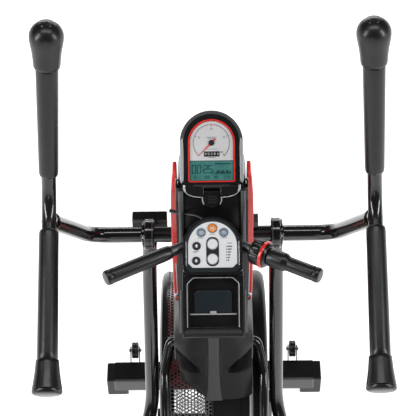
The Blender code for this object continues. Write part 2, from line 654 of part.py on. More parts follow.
def make_housing():
    """The housing that carries the panel and the phone tray, cantilevered from the mast."""
    rear = [(y - 0.001, z) for y, z in REAR_LINE[2:]]
    outline = [*rear, (0.198, 1.218), (0.080, 1.150), TRAY_FROM, TRAY_TO, (-0.032, 1.050), (-0.036, 1.036),
               (-0.018, 1.010), (0.060, 0.985), (0.130, 0.930)]
    housing = side_plate("panel_housing", [outline], -HOUSING_HALF, HOUSING_HALF, BLACK_PLASTIC)
    slope = math.atan2(TRAY_FROM[1] - TRAY_TO[1], TRAY_FROM[0] - TRAY_TO[0])
    tray_middle = ((TRAY_FROM[0] + TRAY_TO[0]) / 2, (TRAY_FROM[1] + TRAY_TO[1]) / 2)
    left = [(-0.050, -0.060), (-0.050, 0.040), (-0.038, 0.052)]
    pocket = [*left, *((-u, v) for u, v in reversed(left))]
    tray = plate("tray_pocket", [pocket], 0.028, in_plane(slope, (0, *tray_middle), 0, 0.004, 0.0), slope)
    cut(housing, tray, tube("grip_bar_bore", grip_bar_path(), GRIP_BAR_RADIUS + GAP, None))
    for name, at, radius, look in BUTTONS:
        low, high = (in_plane(PANEL_TILT, PANEL_AT, *at, w) for w in (-0.006, 0.020))
        cut(housing, rod(name + "_well", low, high, radius + 0.0006))
    face = arch(0.0540, 0.0000, -0.0480, 0.010)
    holes = [circle(at, radius + 0.0006, 14) for name, at, radius, look in BUTTONS]
    middle = in_plane(PANEL_TILT, PANEL_AT, 0, 0, PANEL_W)
    plate("panel_plate", [face, *holes], 0.0025, middle, PANEL_TILT, WHITE)


def make_buttons():
    normal = Matrix.Rotation(PANEL_TILT, 3, "X") @ Vector((0, 0, 1))
    for name, at, radius, look in BUTTONS:
        start = in_plane(PANEL_TILT, PANEL_AT, *at, 0.0)
        top = PANEL_W + 0.0040
        profile = [(0.0, 0.0), (radius, 0.0), (radius, top - 0.001), (radius - 0.001, top),
                   (0.0, top + 0.0004)]
        button = turned(name, profile, start, normal, look, 14)
        hang(joint_empty(name + "_axis", start), button)


def make_grip_bar():
    """The fixed bar, its two grips, the right one with a wide sleeve, and the resistance dial."""
    tube("grip_bar", grip_bar_path(), GRIP_BAR_RADIUS, STEEL)
    bore = GRIP_BAR_RADIUS + GAP
    end = (GRIP_BAR_END - GRIP_BAR_BEND).length
    tip = [(0.0172, end - 0.0075), (0.0172, end + 0.0025), (0.0145, end + 0.0065), (0.0, end + 0.0065),
           (0.0, end + 0.0020), (bore, end + 0.0020)]
    inner = {"left": [(bore, 0.040), (0.0150, 0.040), (0.0165, 0.046)],
             "right": [(bore, 0.078), (0.0205, 0.078), (0.0212, 0.084), (0.0212, 0.116), (0.0165, 0.124)]}
    for side, sign in SIDES:
        profile = [*inner[side], *tip, inner[side][0]]
        turned(f"static_grip_{side}", profile, sided(GRIP_BAR_BEND, sign), sided(GRIP_BAR_ALONG, sign), FOAM)
    profile = [(0.0200, 0.034), (0.0270, 0.037), (0.0300, 0.044), (0.0300, 0.060), (0.0315, 0.062),
               (0.0315, 0.070), (0.0270, 0.075), (0.0200, 0.0765)]
    dial = sleeve("resistance_dial", profile, bore + GAP, GRIP_BAR_BEND, GRIP_BAR_ALONG, BLACK_PLASTIC, 24)
    hang(joint_empty("dial_axis", GRIP_BAR_BEND + GRIP_BAR_ALONG * 0.055), dial)


DIAL_V = 0.0122
NEEDLE_LENGTH, NEEDLE_TAIL, NEEDLE_HEADING = 0.040, 0.012, math.radians(225)


def console_plate(name, outlines, low, high, look=None):
    """A plate in the console's face plane, from depth low to depth high."""
    middle = in_plane(CONSOLE_TILT, CONSOLE_AT, 0, 0, (low + high) / 2)
    return plate(name, outlines, high - low, middle, CONSOLE_TILT, look)


def make_console():
    """The console: an arched housing, a red surround, the dial plate with its needle, and the LCD window."""
    outline = arch(0.072, 0.017, -0.089, 0.014, 20)
    housing = console_plate("console_housing", [outline], -0.048, 0, BLACK_PLASTIC)
    recess = console_plate("console_recess", [arch(0.0545, DIAL_V, -0.0785)], -0.006, 0.014)
    cut(soften(housing, 0.004), recess)
    surround = [arch(0.0540, DIAL_V, -0.0780), arch(0.0490, DIAL_V, -0.0735)]
    console_plate("red_surround", surround, -0.0057, -0.0007, RED)
    console_plate("dial_plate", [arch(0.0485, DIAL_V, -0.0275)], -0.0057, -0.0037, WHITE)
    window = [(-0.0485, -0.0730), (0.0485, -0.0730), (0.0485, -0.0285), (-0.0485, -0.0285)]
    console_plate("lcd_window", [window], -0.0057, -0.0037, GLASS)
    along = Vector((math.cos(NEEDLE_HEADING), math.sin(NEEDLE_HEADING)))
    tip, tail = ((p.x, p.y + DIAL_V) for p in (along * NEEDLE_LENGTH, along * -NEEDLE_TAIL))
    needle = console_plate("dial_needle", [stadium(tail, tip, 0.0014, 0.0006, 4)], -0.0028, -0.0020, RED)
    hub, hub_top = (in_plane(CONSOLE_TILT, CONSOLE_AT, 0, DIAL_V, w) for w in (-0.0032, -0.0004))
    join(needle, rod("needle_hub", hub, hub_top, 0.0065))
    hang(joint_empty("needle_axis", hub), needle)


def build():
    make_base()
    make_wheels()
    make_mast()
    make_pivot_axle()
    make_hoops()
    drum_half("fan_cage", -1, MESH_METAL)
    drum_half("belt_cover", 1, BLACK_PLASTIC)
    make_fan()
    make_belt()
    make_crank()
    for side, sign in SIDES:
        make_leg(side, sign)
        make_swing_arm(side, sign)
    make_mast_covers()
    make_trims()
    make_housing()
    make_buttons()
    make_grip_bar()
    make_console()


build()
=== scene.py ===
"""The looks of the standing fan cross-trainer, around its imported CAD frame. Metres, +Z up, +Y away from
the user."""

import math

import bmesh
import bpy
from mathutils import Matrix, Vector


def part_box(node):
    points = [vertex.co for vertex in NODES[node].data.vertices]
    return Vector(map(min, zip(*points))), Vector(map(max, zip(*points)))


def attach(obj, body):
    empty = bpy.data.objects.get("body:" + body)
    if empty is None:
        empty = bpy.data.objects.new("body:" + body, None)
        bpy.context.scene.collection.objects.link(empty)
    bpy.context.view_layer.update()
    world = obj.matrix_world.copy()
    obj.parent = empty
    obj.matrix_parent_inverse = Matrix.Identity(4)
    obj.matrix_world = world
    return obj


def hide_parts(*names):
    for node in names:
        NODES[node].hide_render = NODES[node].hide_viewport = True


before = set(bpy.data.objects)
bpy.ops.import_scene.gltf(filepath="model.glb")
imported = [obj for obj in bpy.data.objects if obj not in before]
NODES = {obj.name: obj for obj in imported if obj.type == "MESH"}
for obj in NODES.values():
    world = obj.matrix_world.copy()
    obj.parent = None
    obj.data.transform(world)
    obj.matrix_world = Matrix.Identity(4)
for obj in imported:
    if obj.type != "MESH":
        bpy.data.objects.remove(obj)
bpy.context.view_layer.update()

# The machine's places, in (y, z) pairs of its middle plane where two numbers are given.
ARM_PIVOT = (0.300, 1.020)
DRUM, DRUM_RADIUS, DRUM_HALF = (0.330, 0.370), 0.285, 0.138
CRANK, CRANK_RADIUS = (0.230, 0.310), 0.100
FAN, FAN_RADIUS = (0.400, 0.460), 0.150
LEG_PIVOT = (-0.020, 0.310)
BAR_RADIUS, HANDLE_TUBE_RADIUS, GRIP_BAR_RADIUS = 0.0190, 0.0165, 0.0125
HANDLE_BEND = Vector((0.361, 0.208, 1.247))
HANDLE_UP = Vector((-0.058, 0.285, 0.958)).normalized()
HANDLE_DOWN = Vector((-0.010, -0.918, -0.396)).normalized()
UPPER_GRIP, LOWER_GRIP, LOWER_END = (0.076, 0.341), (0.062, 0.350), 0.427
CONSOLE_TILT, CONSOLE_AT = math.radians(40), Vector((0.0, 0.338, 1.281))
PANEL_TILT, PANEL_AT = math.radians(30), Vector((0.0, 0.137, 1.176))
TRAY_FROM, TRAY_TO = (0.075, 1.142), (-0.020, 1.047)
TRAY_TILT = math.atan2(TRAY_FROM[1] - TRAY_TO[1], TRAY_FROM[0] - TRAY_TO[0])
GRIP_BAR_BEND, GRIP_BAR_END = Vector((0.060, 0.150, 1.165)), Vector((0.229, 0.048, 1.184))
GRIP_BAR_ALONG = (GRIP_BAR_END - GRIP_BAR_BEND).normalized()
SIDES = (("left", -1), ("right", 1))


# Materials: each is grown from noise in the object's own coordinates.

class Graph:
    """A short way to add nodes to a material."""

    def __init__(self, name):
        self.material = bpy.data.materials.new(name)
        self.material.use_nodes = True
        self.tree = self.material.node_tree
        self.shader = self.tree.nodes["Principled BSDF"]

    def node(self, kind, **settings):
        made = self.tree.nodes.new("ShaderNode" + kind)
        for key, value in settings.items():
            if key in made.inputs:
                made.inputs[key].default_value = value
            else:
                setattr(made, key, value)
        return made

    def link(self, source, target):
        self.tree.links.new(source, target)

    def scaled(self, factor, low, high):
        made = self.node("MapRange")
        made.inputs["To Min"].default_value = low
        made.inputs["To Max"].default_value = high
        self.link(factor, made.inputs["Value"])
        return made.outputs["Result"]

    def ramp(self, factor, stops):
        made = self.node("ValToRGB")
        ramp = made.color_ramp
        while len(ramp.elements) < len(stops):
            ramp.elements.new(0.5)
        for element, (place, colour) in zip(ramp.elements, stops):
            element.position = place
            element.color = (*colour, 1) if len(colour) == 3 else colour
        self.link(factor, made.inputs["Fac"])
        return made.outputs["Color"]

    def mix(self, factor, first, second):
        made = self.node("Mix", data_type="RGBA")
        for value, slot_name in ((factor, 0), (first, 6), (second, 7)):
            if isinstance(value, (tuple, float)):
                made.inputs[slot_name].default_value = (*value, 1) if isinstance(value, tuple) else value
            else:
                self.link(value, made.inputs[slot_name])
        return made.outputs[2]


def surface(name, dark, light, rough, metallic=0.0, grain=900.0, bump=0.15, cloud=9.0, wear=None, coat=0.0,
            spread=0.10, specular=0.5):
    """A clouded colour with fine grain in its bump, roughness that varies, and paler worn edges."""
    g = Graph(name)
    coord = g.node("TexCoord")
    clouds = g.node("TexNoise", Scale=cloud, Detail=4.0, Roughness=0.6)
    fine = g.node("TexNoise", Scale=grain, Detail=3.0, Roughness=0.55)
    g.link(coord.outputs["Object"], clouds.inputs["Vector"])
    g.link(coord.outputs["Object"], fine.inputs["Vector"])
    colour = g.ramp(clouds.outputs["Fac"], ((0.32, dark), (0.70, light)))
    if wear:
        edges = g.node("NewGeometry").outputs["Pointiness"]
        mask = g.ramp(edges, ((0.62, (0, 0, 0)), (0.80, (1, 1, 1))))
        patch = g.ramp(clouds.outputs["Fac"], ((0.40, (0.15,) * 3), (0.65, (1,) * 3)))
        both = g.node("Math", operation="MULTIPLY")
        g.link(mask, both.inputs[0])
        g.link(patch, both.inputs[1])
        colour = g.mix(both.outputs[0], colour, wear)
    g.link(colour, g.shader.inputs["Base Color"])
    blend = g.node("Math", operation="MULTIPLY_ADD")
    g.link(fine.outputs["Fac"], blend.inputs[0])
    blend.inputs[1].default_value = 0.4
    g.link(clouds.outputs["Fac"], blend.inputs[2])
    g.link(g.scaled(blend.outputs[0], rough - spread, rough + spread), g.shader.inputs["Roughness"])
    relief = g.node("Bump", Strength=bump, Distance=0.0004)
    g.link(fine.outputs["Fac"], relief.inputs["Height"])
    g.link(relief.outputs["Normal"], g.shader.inputs["Normal"])
    g.shader.inputs["Metallic"].default_value = metallic
    g.shader.inputs["Specular IOR Level"].default_value = specular
    g.shader.inputs["Coat Weight"].default_value = coat
    g.shader.inputs["Coat Roughness"].default_value = 0.12
    return g.material


def foam_material(name):
    """Closed-cell grip foam: a soft grey-black with small pores."""
    g = Graph(name)
    coord = g.node("TexCoord")
    pores = g.node("TexVoronoi", Scale=520.0)
    clouds = g.node("TexNoise", Scale=16.0, Detail=5.0)
    fine = g.node("TexNoise", Scale=1500.0, Detail=2.0)
    for texture in (pores, clouds, fine):
        g.link(coord.outputs["Object"], texture.inputs["Vector"])
    base = g.ramp(clouds.outputs["Fac"], ((0.3, (0.006, 0.006, 0.0065)), (0.7, (0.012, 0.012, 0.013))))
    pit = g.ramp(pores.outputs["Distance"], ((0.05, (0.3,) * 3), (0.45, (1,) * 3)))
    shade = g.node("Mix", data_type="RGBA", blend_type="MULTIPLY")
    shade.inputs[0].default_value = 0.6
    g.link(base, shade.inputs[6])
    g.link(pit, shade.inputs[7])
    g.link(shade.outputs[2], g.shader.inputs["Base Color"])
    height = g.node("Math", operation="ADD")
    g.link(pores.outputs["Distance"], height.inputs[0])
    g.link(fine.outputs["Fac"], height.inputs[1])
    relief = g.node("Bump", Strength=0.14, Distance=0.0003)
    g.link(height.outputs[0], relief.inputs["Height"])
    g.link(relief.outputs["Normal"], g.shader.inputs["Normal"])
    g.link(g.scaled(clouds.outputs["Fac"], 0.26, 0.36), g.shader.inputs["Roughness"])
    g.shader.inputs["Sheen Weight"].default_value = 0.04
    return g.material


def painted_glow_material(name, dark, light, strength):
    """A display layer that glows with painted light, its colour and glow slightly uneven."""
    g = Graph(name)
    coord = g.node("TexCoord")
    noise = g.node("TexNoise", Scale=60.0, Detail=3.0)
    g.link(coord.outputs["Object"], noise.inputs["Vector"])
    colour = g.ramp(noise.outputs["Fac"], ((0.3, dark), (0.7, light)))
    g.link(colour, g.shader.inputs["Base Color"])
    g.link(colour, g.shader.inputs["Emission Color"])
    g.link(g.scaled(noise.outputs["Fac"], 0.08, 0.2), g.shader.inputs["Roughness"])
    g.shader.inputs["Emission Strength"].default_value = strength
    return g.material


PAINT = surface("black_paint", (0.005, 0.005, 0.0055), (0.010, 0.010, 0.011), 0.17, grain=420, bump=0.04,
                wear=(0.05, 0.05, 0.055), coat=0.7, spread=0.06)
PLASTIC = surface("black_plastic", (0.005, 0.005, 0.0055), (0.009, 0.009, 0.010), 0.25, grain=1400, bump=0.06,
                  wear=(0.05, 0.05, 0.055))
GLOSS = surface("gloss_black", (0.006, 0.006, 0.007), (0.012, 0.012, 0.013), 0.16, grain=300, bump=0.03,
                wear=(0.04, 0.04, 0.045), coat=0.8, spread=0.05)
SLATE = surface("slate_plastic", (0.010, 0.016, 0.020), (0.016, 0.024, 0.029), 0.30, grain=900, bump=0.08)
RIDGE = surface("ridge_plastic", (0.030, 0.031, 0.032), (0.042, 0.043, 0.045), 0.34, grain=1400, bump=0.08)
COVER = surface("cover_plastic", (0.005, 0.005, 0.0055), (0.009, 0.009, 0.010), 0.34, grain=1400, bump=0.06,
                spread=0.05, specular=0.22)
GREY = surface("dark_grey_plastic", (0.070, 0.071, 0.074), (0.105, 0.107, 0.111), 0.32, grain=1400, bump=0.08,
               wear=(0.15, 0.15, 0.16))
FOAM = foam_material("grip_foam")
CAP_RUBBER = surface("cap_rubber", (0.006, 0.006, 0.0065), (0.011, 0.011, 0.012), 0.27, grain=1100, bump=0.08)
RED = surface("red_plastic", (0.84, 0.026, 0.020), (0.94, 0.050, 0.038), 0.26, grain=700, bump=0.06,
              wear=(0.85, 0.16, 0.12), coat=0.5)
# Painted shade: the fan's red is darkened to stand for the shade inside the drum.
SHADED_FAN_RED = surface("fan_red_painted_shade", (0.22, 0.004, 0.004), (0.34, 0.009, 0.008), 0.32, grain=900, bump=0.08,
                  wear=(0.6, 0.1, 0.08))
STEEL = surface("bright_steel", (0.42, 0.43, 0.45), (0.60, 0.61, 0.63), 0.24, 1.0, grain=500, bump=0.012,
                spread=0.06)
DARK_STEEL = surface("dark_steel", (0.10, 0.10, 0.105), (0.17, 0.17, 0.18), 0.36, 1.0, grain=500,
                     bump=0.012, spread=0.05)
SILVER = surface("silver_plastic", (0.50, 0.51, 0.52), (0.64, 0.65, 0.67), 0.30, 0.4, grain=1200, bump=0.05)
MESH_METAL = surface("mesh_metal", (0.20, 0.20, 0.21), (0.34, 0.34, 0.35), 0.30, 0.9, grain=800, bump=0.08)
DARK_MESH = surface("dark_mesh", (0.010, 0.010, 0.011), (0.022, 0.022, 0.024), 0.30, 0.0, grain=800,
                    bump=0.12)
WHITE = surface("white_plastic", (0.80, 0.81, 0.82), (0.88, 0.89, 0.90), 0.34, grain=1600, bump=0.06)
DIAL_WHITE = surface("dial_white", (0.62, 0.62, 0.63), (0.72, 0.72, 0.73), 0.45, grain=1800, bump=0.04)
INK = surface("print_black", (0.006, 0.006, 0.007), (0.014, 0.014, 0.015), 0.5, grain=1800, bump=0.1,
              spread=0.06)
GREY_INK = surface("print_grey", (0.14, 0.15, 0.17), (0.22, 0.23, 0.25), 0.5, grain=1800, bump=0.1)
ORANGE = surface("orange_plastic", (0.76, 0.22, 0.035), (0.90, 0.32, 0.06), 0.30, grain=1500, bump=0.08,
                 coat=0.3)
BLUE_GREY = surface("blue_grey_plastic", (0.15, 0.21, 0.28), (0.22, 0.29, 0.37), 0.32, grain=1500,
                    bump=0.08, coat=0.3)
BELT = surface("belt_rubber", (0.014, 0.014, 0.014), (0.030, 0.030, 0.030), 0.75, grain=600, bump=0.3)
# Painted glow: the display and its digit ink give off light of their own.
LCD = painted_glow_material("lcd_teal", (0.040, 0.150, 0.135), (0.062, 0.200, 0.180), 0.25)
LCD_DARK = painted_glow_material("lcd_ink", (0.006, 0.040, 0.062), (0.010, 0.055, 0.080), 0.05)


# Mesh helpers. Every shape is made in the machine's own frame.

def finish_piece(name, data, look, body=None, replaces=(), smooth=35, bevel=0.0, segments=3, solid=0.0):
    """Puts a mesh in the scene with its material, modifiers and body, and hides the CAD nodes that it
    replaces."""
    data.name = name
    made = bpy.data.objects.new(name, data)
    bpy.context.scene.collection.objects.link(made)
    data.materials.clear()
    data.materials.append(look)
    if smooth:
        data.shade_smooth()
        data.set_sharp_from_angle(angle=math.radians(smooth))
    if solid:
        thick = made.modifiers.new("thickness", "SOLIDIFY")
        thick.thickness = solid
        thick.offset = -1
    if bevel:
        rounding = made.modifiers.new("edges", "BEVEL")
        rounding.width = bevel
        rounding.segments = segments
        rounding.limit_method = "ANGLE"
        rounding.angle_limit = math.radians(32)
        rounding.harden_normals = True
    if body:
        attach(made, body)
    if replaces:
        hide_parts(*([replaces] if isinstance(replaces, str) else replaces))
    return made


def mesh_of(work):
    bmesh.ops.recalc_face_normals(work, faces=work.faces)
    data = bpy.data.meshes.new("shape")
    work.to_mesh(data)
    work.free()
    return data


def bridge(work, first, second, closed=True):
    count = len(first)
    for i in range(count if closed else count - 1):
        j = (i + 1) % count
        corners = [first[i], first[j], second[j], second[i]]
        unique = list(dict.fromkeys(corners))
        if len(unique) > 2:
            work.faces.new(unique)


def sweep(path, radius, sides=28):
    """A round tube along a path, its rings carried without twist. radius is a number or one per point."""
    path = [Vector(p) for p in path]
    radii = radius if isinstance(radius, (list, tuple)) else [radius] * len(path)
    work = bmesh.new()
    ahead = (path[1] - path[0]).normalized()
    side = ahead.orthogonal().normalized()
    rings = []
    for i, point in enumerate(path):
        before, after = path[max(i - 1, 0)], path[min(i + 1, len(path) - 1)]
        now = (after - before).normalized()
        side = (side - now * side.dot(now)).normalized()
        other = now.cross(side)
        rings.append([work.verts.new(point + (side * math.cos(a) + other * math.sin(a)) * radii[i])
                      for a in (2 * math.pi * k / sides for k in range(sides))])
    for first, second in zip(rings, rings[1:]):
        bridge(work, first, second)
    work.faces.new(list(reversed(rings[0])))
    work.faces.new(rings[-1])
    return mesh_of(work)


def lathe(profile, start, direction, steps=48, ripple=None):
    """A solid of revolution from (radius, height) pairs. ripple(angle, radius, height) may change a
    radius."""
    direction = Vector(direction).normalized()
    turn = direction.to_track_quat("Z", "Y")
    work = bmesh.new()
    rings = []
    for radius, height in profile:
        if radius < 1e-6:
            point = work.verts.new(Vector(start) + turn @ Vector((0, 0, height)))
            rings.append([point] * steps)
            continue
        ring = []
        for k in range(steps):
            a = 2 * math.pi * k / steps
            r = ripple(a, radius, height) if ripple else radius
            ring.append(work.verts.new(Vector(start) + turn @ Vector((r * math.cos(a), r * math.sin(a),
                    height))))
        rings.append(ring)
    for first, second in zip(rings, rings[1:]):
        bridge(work, first, second)
    for ring, flip in ((rings[0], True), (rings[-1], False)):
        if ring[0] is not ring[1] and profile[0] != profile[-1]:
            work.faces.new(list(reversed(ring)) if flip else ring)
    if profile[0] == profile[-1]:
        bmesh.ops.remove_doubles(work, verts=work.verts, dist=1e-6)
    return mesh_of(work)


def slab(outlines, thickness, at, tilt=0.0, side_on=False):
    """A plate from outlines, the first the outer one; tilted about X, or standing in the (y, z) plane."""
    data = bpy.data.curves.new("outline", "CURVE")
    data.dimensions = "2D"
    data.fill_mode = "BOTH"
    data.extrude = thickness / 2
    for outline in outlines:
        spline = data.splines.new("POLY")
        spline.points.add(len(outline) - 1)
        for point, (u, v) in zip(spline.points, outline):
            point.co = (u, v, 0, 1)
        spline.use_cyclic_u = True
    curve = bpy.data.objects.new("outline", data)
    bpy.context.scene.collection.objects.link(curve)
    bpy.context.view_layer.update()
    made = bpy.data.meshes.new_from_object(curve.evaluated_get(bpy.context.evaluated_depsgraph_get()))
    bpy.data.objects.remove(curve, do_unlink=True)
    turn = Matrix.Rotation(tilt, 4, "X")
    if side_on:
        turn = Matrix.Rotation(math.radians(90), 4, "Z") @ Matrix.Rotation(math.radians(90), 4, "X")
    made.transform(Matrix.Translation(Vector(at)) @ turn)
    work = bmesh.new()
    work.from_mesh(made)
    bmesh.ops.remove_doubles(work, verts=work.verts, dist=1e-6)
    return mesh_of(work)


def block(size, at, turn=None):
    work = bmesh.new()
    bmesh.ops.create_cube(work, size=1.0)
    bmesh.ops.scale(work, vec=size, verts=work.verts)
    if turn is not None:
        bmesh.ops.rotate(work, matrix=turn, verts=work.verts)
    bmesh.ops.translate(work, vec=Vector(at), verts=work.verts)
    return mesh_of(work)


def merged(*meshes):
    work = bmesh.new()
    for data in meshes:
        work.from_mesh(data)
    data = bpy.data.meshes.new("shape")
    work.to_mesh(data)
    work.free()
    return data


def grid(rows):
    """A surface through rows of points."""
    work = bmesh.new()
    verts = [[work.verts.new(Vector(p)) for p in row] for row in rows]
    for first, second in zip(verts, verts[1:]):
        bridge(work, first, second, closed=False)
    return mesh_of(work)


def bent(points, radius, steps=10):
    """The path through these corners, each inner corner rounded off."""
    path = [Vector(points[0])]
    for before, corner, after in zip(points, points[1:], points[2:]):
        corner = Vector(corner)
        start = corner + (Vector(before) - corner).normalized() * radius
        end = corner + (Vector(after) - corner).normalized() * radius
        for i in range(steps + 1):
            t = i / steps
            path.append(start * (1 - t) ** 2 + corner * 2 * t * (1 - t) + end * t**2)
    path.append(Vector(points[-1]))
    return path


def arc(centre, radius, start, end, steps=12):
    angles = [math.radians(start + (end - start) * i / steps) for i in range(steps + 1)]
    return [(centre[0] + radius * math.cos(a), centre[1] + radius * math.sin(a)) for a in angles]


def circle(centre, radius, steps=32):
    return arc(centre, radius, 0, 360 * (steps - 1) / steps, steps - 1)


def arch(half, centre_v, bottom, chamfer=0.0, steps=32):
    """A window shape: a half circle over straight sides and a flat foot with cut corners."""
    top = arc((0, centre_v), half, 0, 180, steps)
    if chamfer:
        foot = [(-half, bottom + chamfer), (-half + chamfer, bottom), (half - chamfer, bottom)]
        return [*top, *foot, (half, bottom + chamfer)]
    return [*top, (-half, bottom), (half, bottom)]


def rounded(low, high, radius, steps=5):
    (u0, v0), (u1, v1) = low, high
    corners = (((u1 - radius, v1 - radius), 0), ((u0 + radius, v1 - radius), 90),
               ((u0 + radius, v0 + radius), 180), ((u1 - radius, v0 + radius), 270))
    return [p for centre, start in corners for p in arc(centre, radius, start, start + 90, steps)]


def in_plane(tilt, centre, u, v, w=0.0):
    return Vector(centre) + Matrix.Rotation(tilt, 3, "X") @ Vector((u, v, w))


def sided(point, sign):
    return Vector((sign * point[0], point[1], point[2]))


def span(sign, low, high):
    return sorted((sign * low, sign * high))


def bolt(at, direction, radius=0.0065, height=0.004, hexed=True):
    """A hex or button bolt head on a washer."""
    washer = lathe([(0, 0), (radius * 1.35, 0), (radius * 1.35, 0.0008), (radius, 0.0010)], at, direction, 28)
    if hexed:
        head = lathe([(radius, 0.0006), (radius, height * 0.85), (radius * 0.86, height), (0, height)], at,
                     direction, 6)
    else:
        head = lathe([(radius, 0.0006), (radius * 0.92, height * 0.6), (radius * 0.6, height),
                      (radius * 0.38, height),
                      (radius * 0.38, height * 0.4), (0, height * 0.4)], at, direction, 28)
    return merged(washer, head)


# Swing arms

def make_handlebar(side, sign):
    y, z = ARM_PIVOT
    body = f"arm_{side}"
    weld_at = HANDLE_BEND + HANDLE_DOWN * 0.040
    path = [sided(p, sign) for p in bent([(0.1618, y, z), (0.290, y, z), weld_at], 0.055, 14)]
    low, high = HANDLE_BEND + HANDLE_DOWN * LOWER_END * 0.975, HANDLE_BEND + HANDLE_UP * (UPPER_GRIP[1]
            + 0.036)
    stem = [sided(p, sign) for p in bent([low, HANDLE_BEND, high], 0.050, 14)]
    weld = sided(weld_at, sign)
    along = (path[-1] - path[-2]).normalized()
    bead_at = weld - along * (HANDLE_TUBE_RADIUS + 0.001)
    bead = lathe([(0.0186, -0.004), (0.0212, -0.001), (0.0222, 0.002), (0.0215, 0.006)], bead_at, along, 40,
                 lambda a, r, h: r + 0.0005 * math.sin(a * 22 + h * 900))
    finish_piece(f"handlebar_tube_{side}", merged(sweep(path, BAR_RADIUS, 36),
                                                  sweep(stem, HANDLE_TUBE_RADIUS, 36), bead),
                 PAINT, body, f"handlebar_{side}", smooth=40)
    flange = lathe([(0.0192, 0.0), (0.0285, 0.0), (0.0295, 0.001), (0.0295, 0.004), (0.0200, 0.0062),
                    (0.0192, 0.0075)],
                   (sign * 0.1622, y, z), (sign, 0, 0), 48)
    finish_piece(f"handlebar_flange_{side}", flange, PAINT, body, smooth=30)
    heads = [bolt((sign * 0.1618, y + dy, z + dz), (sign, 0, 0), 0.0052, 0.0045) for dy, dz in
             ((-0.0215, 0.0180), (0.0215, -0.0180), (-0.0215, -0.0180), (0.0215, 0.0180))]
    finish_piece(f"collar_bolts_{side}", merged(*heads), STEEL, body, smooth=30)
    tail = Vector((0, -0.62, 0.78)).normalized()
    finish_piece(f"bar_screw_{side}", bolt(sided((0.272, y, z), sign) + tail * (BAR_RADIUS - 0.0006), tail,
                                           0.0042, 0.0026,
                                           False), STEEL, body, smooth=30)


def make_rocker(side, sign):
    y, z = ARM_PIVOT
    body = f"arm_{side}"
    path = bent([(0.150, y, z - 0.028), (0.1545, 0.290, 0.900), (0.160, 0.160, 0.500), (0.1945, 0.060, 0.400),
                 (0.1945, *LEG_PIVOT)], 0.045, 10)
    tube = sweep([sided(p, sign) for p in path], 0.0175, 32)
    x = sign * 0.138
    collar = lathe([(0.0196, 0.0), (0.0355, 0.0), (0.0375, 0.002), (0.0375, 0.0085), (0.0367, 0.0092),
                    (0.0367, 0.0108),
                    (0.0375, 0.0115), (0.0375, 0.0210), (0.0355, 0.0230), (0.0196, 0.0230), (0.0196, 0.0)],
                   (x, y, z), (sign, 0, 0), 64)
    eye = lathe([(0.0124, 0.0), (0.0250, 0.0), (0.0270, 0.002), (0.0270, 0.029), (0.0250, 0.031),
                 (0.0124, 0.031),
                 (0.0124, 0.0)], (sign * 0.1777, *LEG_PIVOT), (sign, 0, 0), 48)
    finish_piece(f"rocker_{side}", merged(tube, collar, eye), PAINT, body, f"rocker_arm_{side}", smooth=38)
    stripe = lathe([(0.0377, 0.0030), (0.0381, 0.0034), (0.0381, 0.0050), (0.0377, 0.0054)], (x, y, z),
                   (sign, 0, 0), 64)
    finish_piece(f"collar_band_{side}", stripe, GREY, body)


def make_grips(side, sign):
    body = f"arm_{side}"
    bend, up, down = sided(HANDLE_BEND, sign), sided(HANDLE_UP, sign), sided(HANDLE_DOWN, sign)
    bore = HANDLE_TUBE_RADIUS + 0.0002
    s0, s1 = UPPER_GRIP
    steps = 26
    rows = [(bore, s0), (0.0190, s0), (0.0206, s0 + 0.0015), (0.0212, s0 + 0.005)]
    for i in range(steps + 1):
        t = i / steps
        rows.append((0.0216 + 0.0026 * t, s0 + 0.008 + (s1 - s0 - 0.014) * t))
    rows += [(0.0241, s1 - 0.004), (0.0232, s1 - 0.0012), (bore, s1 - 0.0008), (bore, s0)]
    finish_piece(f"upper_foam_{side}", lathe(rows, bend, up, 56), FOAM, body, f"upper_grip_{side}", smooth=40)

    top = s1 + 0.107
    knob = [(bore, s1), (0.0266, s1), (0.0280, s1 + 0.0012), (0.0288, s1 + 0.006), (0.0300, s1 + 0.022),
            (0.0318, s1 + 0.038),
            (0.0344, s1 + 0.052), (0.0360, s1 + 0.062), (0.0365, s1 + 0.069)]
    knob += [(0.0365 * math.cos(a), s1 + 0.071 + 0.034 * math.sin(a))
             for a in (math.radians(8 * i) for i in range(1, 11))]
    knob += [(0.0, top - 0.0015)]
    finish_piece(f"top_knob_skin_{side}", lathe(knob, bend, up, 64), CAP_RUBBER, body, f"top_knob_{side}",
                 smooth=50)
    oval = lathe([(0.0, 0.0), (0.0165, 0.0), (0.0178, 0.0008), (0.0170, 0.0022), (0.0120, 0.0036),
                  (0.0, 0.0042)],
                 bend + up * (top - 0.0072), up, 48)
    finish_piece(f"knob_cap_{side}", oval, PLASTIC, body)
    seam = lathe([(0.0287, 0.0), (0.0291, 0.0004), (0.0291, 0.0014), (0.0287, 0.0018)],
                 bend + up * (s1 + 0.010), up, 64)
    finish_piece(f"knob_seam_{side}", seam, PLASTIC, body)

    s0, s1, end = *LOWER_GRIP, LOWER_END
    rows = [(bore, s0), (0.0190, s0), (0.0206, s0 + 0.0015), (0.0214, s0 + 0.005)]
    for i in range(steps + 1):
        t = i / steps
        rows.append((0.0218 + 0.0008 * t, s0 + 0.008 + (s1 - s0 - 0.010) * t))
    rows += [(0.0218, s1), (bore, s1), (bore, s0)]
    finish_piece(f"lower_foam_{side}", lathe(rows, bend, down, 56), FOAM, body, f"lower_grip_{side}",
                 smooth=40)
    cap = [(bore, s1 + 0.0004), (0.0236, s1 + 0.0004), (0.0250, s1 + 0.002), (0.0256, s1 + 0.010),
           (0.0272, s1 + 0.028),
           (0.0300, s1 + 0.048), (0.0320, s1 + 0.060), (0.0326, end - 0.013), (0.0312, end - 0.0115),
           (0.0330, end - 0.010),
           (0.0330, end - 0.0065), (0.0318, end - 0.0030), (0.0280, end - 0.0008), (0.0, end)]
    finish_piece(f"lower_end_cap_{side}", lathe(cap, bend, down, 64), CAP_RUBBER, body, smooth=50)


